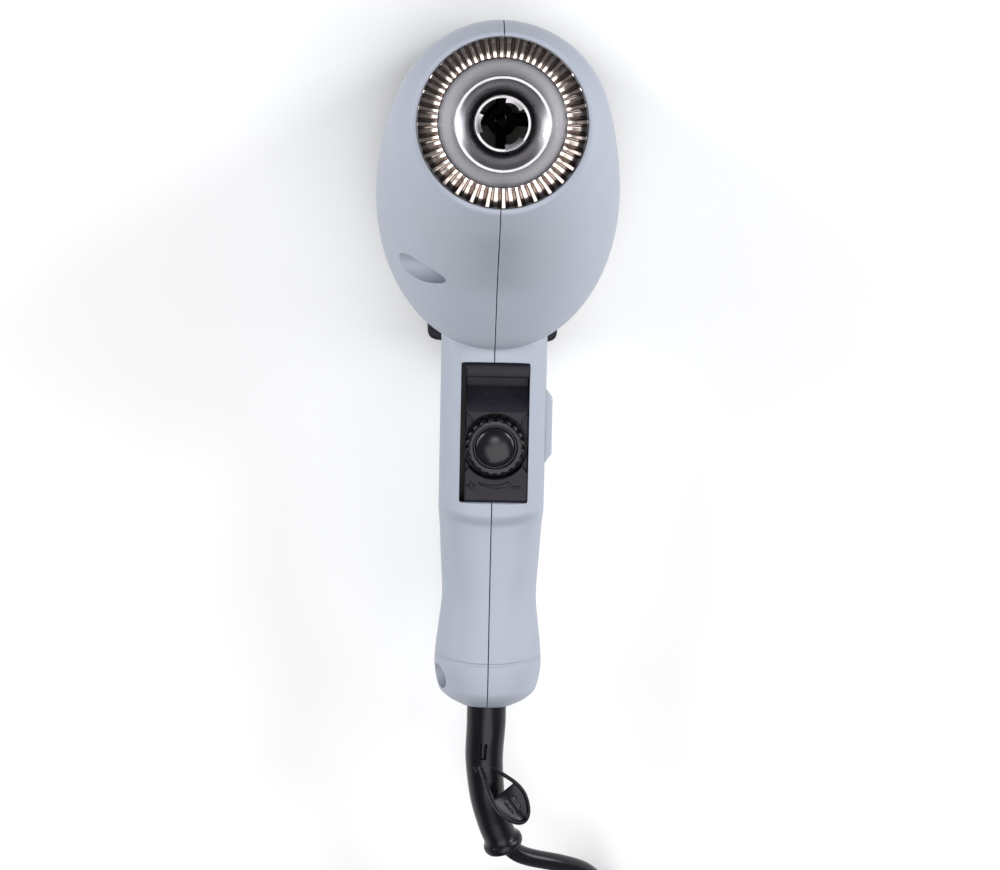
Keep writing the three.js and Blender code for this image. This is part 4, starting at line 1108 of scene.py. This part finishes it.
# The rear cover: the head's rear outline as a shallow cup with an eased edge, a bar to stand on, and
# the hollow, the ring of air slots and the pads' recesses cut out. The pads are turned.
def makeCover(shape):
    low, high, wall = shape["low"], shape["high"], shape["wall"]
    insets = [inset for inset, rise in shape["edge"]] + [0, shape["brim"]]
    heights = [low + rise for inset, rise in shape["edge"]] + [high - shape["brim"], high]
    cup = loftPiece("rear_grille", rimRings(insets, heights))
    barLow = (-shape["barHalf"], shape["barFrom"], low)
    barHigh = (shape["barHalf"], shape["barTo"], shape["barTop"])
    combine(cup, [softBlock("stand_bar", barLow, barHigh, shape["barRounding"])], "UNION")
    cuts = [loftPiece("hollow", rimRings([wall, wall], [shape["floor"], high + 2], 24))]
    for i in range(shape["slots"]):
        cuts.append(airSlot(shape, i / shape["slots"] * fullTurn))
    for x, y in shape["pads"]:
        cuts.append(rodPiece("pad_recess", (x, y, low - 1), (x, y, low + 1), shape["padRecess"], 48))
    combine(cup, cuts, "DIFFERENCE")
    tidyMesh(cup, 30)
    pads = []
    for i, place in enumerate(shape["pads"]):
        pads.append(turnedPiece(f"pad_{i + 1}", shape["padProfile"], place, 48, False))
    return cup, pads


cover, pads = makeCover(coverShape)
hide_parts("rear_cover")
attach(cover, "housing")
for i, pad in enumerate(pads):
    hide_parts(f"stand_pad_{i + 1}")
    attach(pad, "housing")
print("rear cover made")


# Joins one socket to another.
def link(tree, start, end):
    tree.links.new(start, end)


# An empty node group with its inputs and outputs named.
def makeGroup(name, inputs, outputs):
    tree = bpy.data.node_groups.new(name, "ShaderNodeTree")
    for label, kind, value in inputs:
        socket = tree.interface.new_socket(name=label, in_out="INPUT", socket_type=kind)
        socket.default_value = value
    for label, kind in outputs:
        tree.interface.new_socket(name=label, in_out="OUTPUT", socket_type=kind)
    return tree, tree.nodes.new("NodeGroupInput"), tree.nodes.new("NodeGroupOutput")


# A sum, product or the like of two numbers or sockets.
def mathNode(tree, operation, first, second=None):
    node = tree.nodes.new("ShaderNodeMath")
    node.operation = operation
    for socket, value in zip(node.inputs, (first, second)):
        if value is None:
            continue
        if isinstance(value, (int, float)):
            socket.default_value = value
        else:
            link(tree, value, socket)
    return node.outputs[0]


# A noise over the given place; its scale is a number or a socket.
def noiseNode(tree, place, scale, detail=4.0, roughness=0.5):
    node = tree.nodes.new("ShaderNodeTexNoise")
    node.inputs["Detail"].default_value = detail
    node.inputs["Roughness"].default_value = roughness
    link(tree, place, node.inputs["Vector"])
    if isinstance(scale, (int, float)):
        node.inputs["Scale"].default_value = scale
    else:
        link(tree, scale, node.inputs["Scale"])
    return node.outputs["Fac"]


# Moulded grain: slow tone changes over the part, fine speckle in roughness and a fine raised grain.
def grainGroup():
    tree, start, end = makeGroup(
        "moulded_grain",
        [
            ("Colour", "NodeSocketColor", (0.5, 0.5, 0.5, 1)),
            ("Tone", "NodeSocketFloat", 0.05),
            ("Tone Scale", "NodeSocketFloat", 18.0),
            ("Rough", "NodeSocketFloat", 0.5),
            ("Rough Spread", "NodeSocketFloat", 0.1),
            ("Grain Scale", "NodeSocketFloat", 1800.0),
        ],
        [("Colour", "NodeSocketColor"), ("Roughness", "NodeSocketFloat"), ("Height", "NodeSocketFloat")],
    )
    place = tree.nodes.new("ShaderNodeTexCoord").outputs["Object"]
    slow = noiseNode(tree, place, start.outputs["Tone Scale"], 3)
    fine = noiseNode(tree, place, start.outputs["Grain Scale"], 2, 0.6)
    middle = noiseNode(tree, place, 160.0, 4, 0.6)
    shift = mathNode(tree, "SUBTRACT", slow, 0.5)
    value = mathNode(tree, "MULTIPLY_ADD", shift, start.outputs["Tone"])
    value.node.inputs[2].default_value = 1.0
    change = tree.nodes.new("ShaderNodeHueSaturation")
    link(tree, start.outputs["Colour"], change.inputs["Color"])
    link(tree, value, change.inputs["Value"])
    link(tree, change.outputs["Color"], end.inputs["Colour"])
    blotch = mathNode(tree, "SUBTRACT", middle, 0.5)
    spread = mathNode(tree, "MULTIPLY", blotch, start.outputs["Rough Spread"])
    link(tree, mathNode(tree, "ADD", spread, start.outputs["Rough"]), end.inputs["Roughness"])
    link(tree, fine, end.inputs["Height"])
    return tree


# Turned steel: fine rings about an upright axis, from a noise that only sees the distance to the axis.
def turnedGroup():
    tree, start, end = makeGroup(
        "turned_rings",
        [
            ("Colour", "NodeSocketColor", (0.5, 0.5, 0.5, 1)),
            ("Tone", "NodeSocketFloat", 0.1),
            ("Rings", "NodeSocketFloat", 2600.0),
            ("Rough", "NodeSocketFloat", 0.25),
            ("Rough Spread", "NodeSocketFloat", 0.15),
        ],
        [("Colour", "NodeSocketColor"), ("Roughness", "NodeSocketFloat"), ("Height", "NodeSocketFloat")],
    )
    place = tree.nodes.new("ShaderNodeTexCoord").outputs["Object"]
    centred = tree.nodes.new("ShaderNodeMapping")
    centred.inputs["Location"].default_value = (0, -axisY, 0)
    link(tree, place, centred.inputs["Vector"])
    apart = tree.nodes.new("ShaderNodeSeparateXYZ")
    link(tree, centred.outputs[0], apart.inputs[0])
    flat = tree.nodes.new("ShaderNodeCombineXYZ")
    link(tree, apart.outputs[0], flat.inputs[0])
    link(tree, apart.outputs[1], flat.inputs[1])
    reach = tree.nodes.new("ShaderNodeVectorMath")
    reach.operation = "LENGTH"
    link(tree, flat.outputs[0], reach.inputs[0])
    both = tree.nodes.new("ShaderNodeCombineXYZ")
    link(tree, reach.outputs["Value"], both.inputs[0])
    link(tree, apart.outputs[2], both.inputs[1])
    rings = noiseNode(tree, both.outputs[0], start.outputs["Rings"], 3, 0.7)
    smudge = noiseNode(tree, place, 140.0, 5, 0.65)
    shift = mathNode(tree, "SUBTRACT", rings, 0.5)
    value = mathNode(tree, "MULTIPLY_ADD", shift, start.outputs["Tone"])
    value.node.inputs[2].default_value = 1.0
    change = tree.nodes.new("ShaderNodeHueSaturation")
    link(tree, start.outputs["Colour"], change.inputs["Color"])
    link(tree, value, change.inputs["Value"])
    link(tree, change.outputs["Color"], end.inputs["Colour"])
    blotch = mathNode(tree, "SUBTRACT", smudge, 0.5)
    spread = mathNode(tree, "MULTIPLY", blotch, start.outputs["Rough Spread"])
    link(tree, mathNode(tree, "ADD", spread, start.outputs["Rough"]), end.inputs["Roughness"])
    link(tree, rings, end.inputs["Height"])
    return tree


# Dust: a few pale specks, as a mask for mixing into a dark plastic.
def dustGroup():
    tree, start, end = makeGroup(
        "dust_specks",
        [
            ("Colour", "NodeSocketColor", (0.02, 0.02, 0.02, 1)),
            ("Dust", "NodeSocketColor", (0.2, 0.2, 0.2, 1)),
            ("Amount", "NodeSocketFloat", 0.3),
            ("Scale", "NodeSocketFloat", 700.0),
        ],
        [("Colour", "NodeSocketColor"), ("Mask", "NodeSocketFloat")],
    )
    place = tree.nodes.new("ShaderNodeTexCoord").outputs["Object"]
    specks = noiseNode(tree, place, start.outputs["Scale"], 6, 0.75)
    patch = noiseNode(tree, place, 60.0, 3, 0.5)
    sharp = tree.nodes.new("ShaderNodeMapRange")
    sharp.inputs["From Min"].default_value = 0.6
    sharp.inputs["From Max"].default_value = 0.72
    link(tree, specks, sharp.inputs["Value"])
    patchy = mathNode(tree, "MULTIPLY", sharp.outputs["Result"], patch)
    mask = mathNode(tree, "MULTIPLY", patchy, start.outputs["Amount"])
    mix = tree.nodes.new("ShaderNodeMix")
    mix.data_type = "RGBA"
    link(tree, mask, mix.inputs["Factor"])
    link(tree, start.outputs["Colour"], mix.inputs["A"])
    link(tree, start.outputs["Dust"], mix.inputs["B"])
    link(tree, mix.outputs["Result"], end.inputs["Colour"])
    link(tree, mask, end.inputs["Mask"])
    return tree


grain, turned, dust = grainGroup(), turnedGroup(), dustGroup()

finishes = {
    "shell": {
        "colour": (0.322, 0.348, 0.41),
        "rough": 0.5,
        "tone": 0.06,
        "bump": 0.03,
        "grainScale": 2200,
    },
    "charcoal": {
        "colour": (0.013, 0.012, 0.018),
        "rough": 0.42,
        "tone": 0.25,
        "bump": 0.05,
        "grainScale": 2600,
        "dust": 0.25,
        "specular": 0.2,
    },
    "rubber": {
        "colour": (0.004, 0.0035, 0.007),
        "rough": 0.27,
        "tone": 0.25,
        "bump": 0.04,
        "grainScale": 2000,
        "dust": 0.12,
        "specular": 0.25,
    },
    "gloss": {
        "colour": (0.006, 0.0055, 0.009),
        "rough": 0.22,
        "tone": 0.2,
        "bump": 0.0,
        "grainScale": 1500,
        "dust": 0.15,
        "specular": 0.3,
    },
    "dark_plastic": {
        "colour": (0.03, 0.03, 0.035),
        "rough": 0.45,
        "tone": 0.2,
        "bump": 0.05,
        "grainScale": 2000,
    },
    "zinc": {
        "colour": (0.5, 0.51, 0.53),
        "rough": 0.35,
        "tone": 0.2,
        "bump": 0.03,
        "grainScale": 1500,
        "metal": 1,
    },
    "wire": {
        "colour": (0.3, 0.27, 0.25),
        "rough": 0.5,
        "tone": 0.3,
        "bump": 0.05,
        "grainScale": 1500,
        "metal": 1,
    },
    "copper": {
        "colour": (0.6, 0.25, 0.1),
        "rough": 0.35,
        "tone": 0.2,
        "bump": 0.02,
        "grainScale": 1500,
        "metal": 1,
    },
    "mica": {
        "colour": (0.5, 0.42, 0.27),
        "rough": 0.4,
        "tone": 0.3,
        "bump": 0.05,
        "grainScale": 900,
    },
    "ceramic": {
        "colour": (0.7, 0.66, 0.58),
        "rough": 0.7,
        "tone": 0.15,
        "bump": 0.08,
        "grainScale": 1800,
    },
    "magnet": {
        "colour": (0.05, 0.05, 0.055),
        "rough": 0.6,
        "tone": 0.2,
        "bump": 0.06,
        "grainScale": 1500,
    },
    "board": {
        "colour": (0.004, 0.012, 0.007),
        "rough": 0.4,
        "tone": 0.2,
        "bump": 0.03,
        "grainScale": 1200,
    },
    "white": {
        "colour": (0.75, 0.74, 0.69),
        "rough": 0.45,
        "tone": 0.05,
        "bump": 0.03,
        "grainScale": 1800,
    },
    "brown": {
        "colour": (0.1, 0.035, 0.015),
        "rough": 0.5,
        "tone": 0.1,
        "bump": 0.02,
        "grainScale": 1500,
    },
    "blue": {
        "colour": (0.03, 0.08, 0.25),
        "rough": 0.5,
        "tone": 0.1,
        "bump": 0.02,
        "grainScale": 1500,
    },
    "steel": {
        "colour": (0.36, 0.35, 0.37),
        "rough": 0.28,
        "tone": 0.5,
        "rings": 1900,
        "bump": 0.05,
        "metal": 1,
        "anisotropy": 0.85,
    },
    # Near-black soot: painted shade for the heater parts deep in the bore, partly real heat darkening.
    "soot": {
        "colour": (0.003, 0.003, 0.003),
        "rough": 0.85,
        "tone": 0.4,
        "bump": 0.06,
        "grainScale": 1600,
        "specular": 0.05,
    },
    "warm_steel": {
        "colour": (0.43, 0.37, 0.345),
        "rough": 0.17,
        "tone": 0.5,
        "rings": 500,
        "bump": 0.02,
        "metal": 1,
    },
}


# A Principled shader fed by the grain or the turned rings, with dust over the dark plastics.
def makeFinish(name, look):
    material = bpy.data.materials.new(name)
    material.use_nodes = True
    tree = material.node_tree
    shader = tree.nodes["Principled BSDF"]
    source = tree.nodes.new("ShaderNodeGroup")
    isTurned = "rings" in look
    source.node_tree = turned if isTurned else grain
    source.inputs["Colour"].default_value = (*look["colour"], 1)
    source.inputs["Tone"].default_value = look["tone"]
    source.inputs["Rough"].default_value = look["rough"]
    source.inputs["Rough Spread"].default_value = 0.3 * look["rough"]
    if isTurned:
        source.inputs["Rings"].default_value = look["rings"]
    else:
        source.inputs["Grain Scale"].default_value = look["grainScale"]
    colour = source.outputs["Colour"]
    if "dust" in look:
        over = tree.nodes.new("ShaderNodeGroup")
        over.node_tree = dust
        over.inputs["Amount"].default_value = look["dust"]
        link(tree, colour, over.inputs["Colour"])
        colour = over.outputs["Colour"]
    link(tree, colour, shader.inputs["Base Color"])
    link(tree, source.outputs["Roughness"], shader.inputs["Roughness"])
    shader.inputs["Metallic"].default_value = look.get("metal", 0)
    shader.inputs["Specular IOR Level"].default_value = look.get("specular", 0.5)
    if look.get("anisotropy"):
        shader.inputs["Anisotropic"].default_value = look["anisotropy"]
        tangent = tree.nodes.new("ShaderNodeTangent")
        tangent.direction_type = "RADIAL"
        tangent.axis = "Z"
        link(tree, tangent.outputs[0], shader.inputs["Tangent"])
    if look["bump"]:
        bump = tree.nodes.new("ShaderNodeBump")
        bump.inputs["Strength"].default_value = 1.0
        bump.inputs["Distance"].default_value = look["bump"] * millimetre
        link(tree, source.outputs["Height"], bump.inputs["Height"])
        link(tree, bump.outputs["Normal"], shader.inputs["Normal"])
    return material


materials = {name: makeFinish(name, look) for name, look in finishes.items()}


def dress(piece, finish):
    piece.data.materials.clear()
    piece.data.materials.append(materials[finish])


dressed = [
    (leftSkin, "shell"),
    (rightSkin, "shell"),
    (button, "shell"),
    (insert, "charcoal"),
    (dial, "gloss"),
    (collar, "steel"),
    (tabs, "steel"),
    (ringSheet, "warm_steel"),
    (sleeve, "rubber"),
    (cordPiece, "gloss"),
    (plugBody, "rubber"),
    (plugPins[0], "steel"),
    (plugPins[1], "steel"),
    (cover, "charcoal"),
]
for piece, finish in dressed:
    dress(piece, finish)
for pad in pads:
    dress(pad, "rubber")
# Pieces deep in the bore, made near-black: painted shade of the deep bore, partly real heat darkening.
sootAndPaintedShade = {name: "soot" for name in ("heater_tube", "mica_sleeve", "ceramic_core", "heating_coil",
                                          "temperature_probe", "thermal_cutout")}
for part in frame["record"]["subparts"]:
    node = frame["nodes"][part["node"]]
    for slot in node.material_slots:
        slot.material = materials[sootAndPaintedShade.get(part["node"], part["material_slot"])]
print("finishes made", len(materials))

stageSettings = {
    "floor": (0.8, 0.8, 0.8),
    "world": (0.95, 0.97, 1.0),
    "worldStrength": 0.2,
    "lights": {
        "overhead": {
            "place": (0.3, -0.9, 1.8),
            "aim": (0, 0, 0.1),
            "size": (1.7, 1.5),
            "power": 24,
            "colour": (1, 0.99, 0.97),
        },
        "top": {
            "place": (0, 0.05, 1.9),
            "aim": (0, 0.05, 0),
            "size": (0.4, 0.4),
            "power": 4,
            "colour": (1, 0.99, 0.98),
        },
        "left": {
            "place": (-1.0, 0.15, 0.5),
            "aim": (0, 0.09, 0.15),
            "size": (0.5, 0.5),
            "power": 5,
            "colour": (0.97, 0.98, 1),
        },
        "upper_left": {
            "place": (-0.95, 0.55, 0.95),
            "aim": (0, 0, 0.1),
            "size": (0.35, 0.35),
            "power": 6,
            "colour": (0.97, 0.98, 1),
        },
        "upper_right": {
            "place": (0.95, 0.6, 0.95),
            "aim": (0, 0, 0.1),
            "size": (0.35, 0.35),
            "power": 7,
            "colour": (0.97, 0.98, 1),
        },
        "right": {
            "place": (1.0, 0.15, 0.5),
            "aim": (0, 0.09, 0.15),
            "size": (0.5, 0.5),
            "power": 5.5,
            "colour": (0.97, 0.98, 1),
        },
    },
}


def makeStage(settings):
    corners = np.array([(-4, -4, -0.0004), (4, -4, -0.0004), (4, 4, -0.0004), (-4, 4, -0.0004)])
    mesh = bpy.data.meshes.new("floor")
    mesh.from_pydata(corners.tolist(), [], [[0, 1, 2, 3]])
    floor = bpy.data.objects.new("floor", mesh)
    bpy.context.collection.objects.link(floor)
    material = bpy.data.materials.new("floor")
    material.use_nodes = True
    shader = material.node_tree.nodes["Principled BSDF"]
    shader.inputs["Base Color"].default_value = (*settings["floor"], 1)
    shader.inputs["Roughness"].default_value = 0.9
    shader.inputs["Specular IOR Level"].default_value = 0.1
    mesh.materials.append(material)
    world = bpy.data.worlds.new("studio")
    bpy.context.scene.world = world
    world.use_nodes = True
    sky = world.node_tree.nodes["Background"]
    sky.inputs["Color"].default_value = (*settings["world"], 1)
    sky.inputs["Strength"].default_value = settings["worldStrength"]
    for name, look in settings["lights"].items():
        data = bpy.data.lights.new(name, "AREA")
        data.shape = "RECTANGLE"
        data.size, data.size_y = look["size"]
        data.energy = look["power"]
        data.color = look["colour"]
        lamp = bpy.data.objects.new(name, data)
        lamp.location = look["place"]
        way = np.array(look["aim"]) - np.array(look["place"])
        lamp.rotation_euler = Vector(way).to_track_quat("-Z", "Y").to_euler()
        bpy.context.collection.objects.link(lamp)


makeStage(stageSettings)
bpy.context.scene.view_settings.view_transform = "Standard"
print("stage set")

bpy.context.view_layer.update()
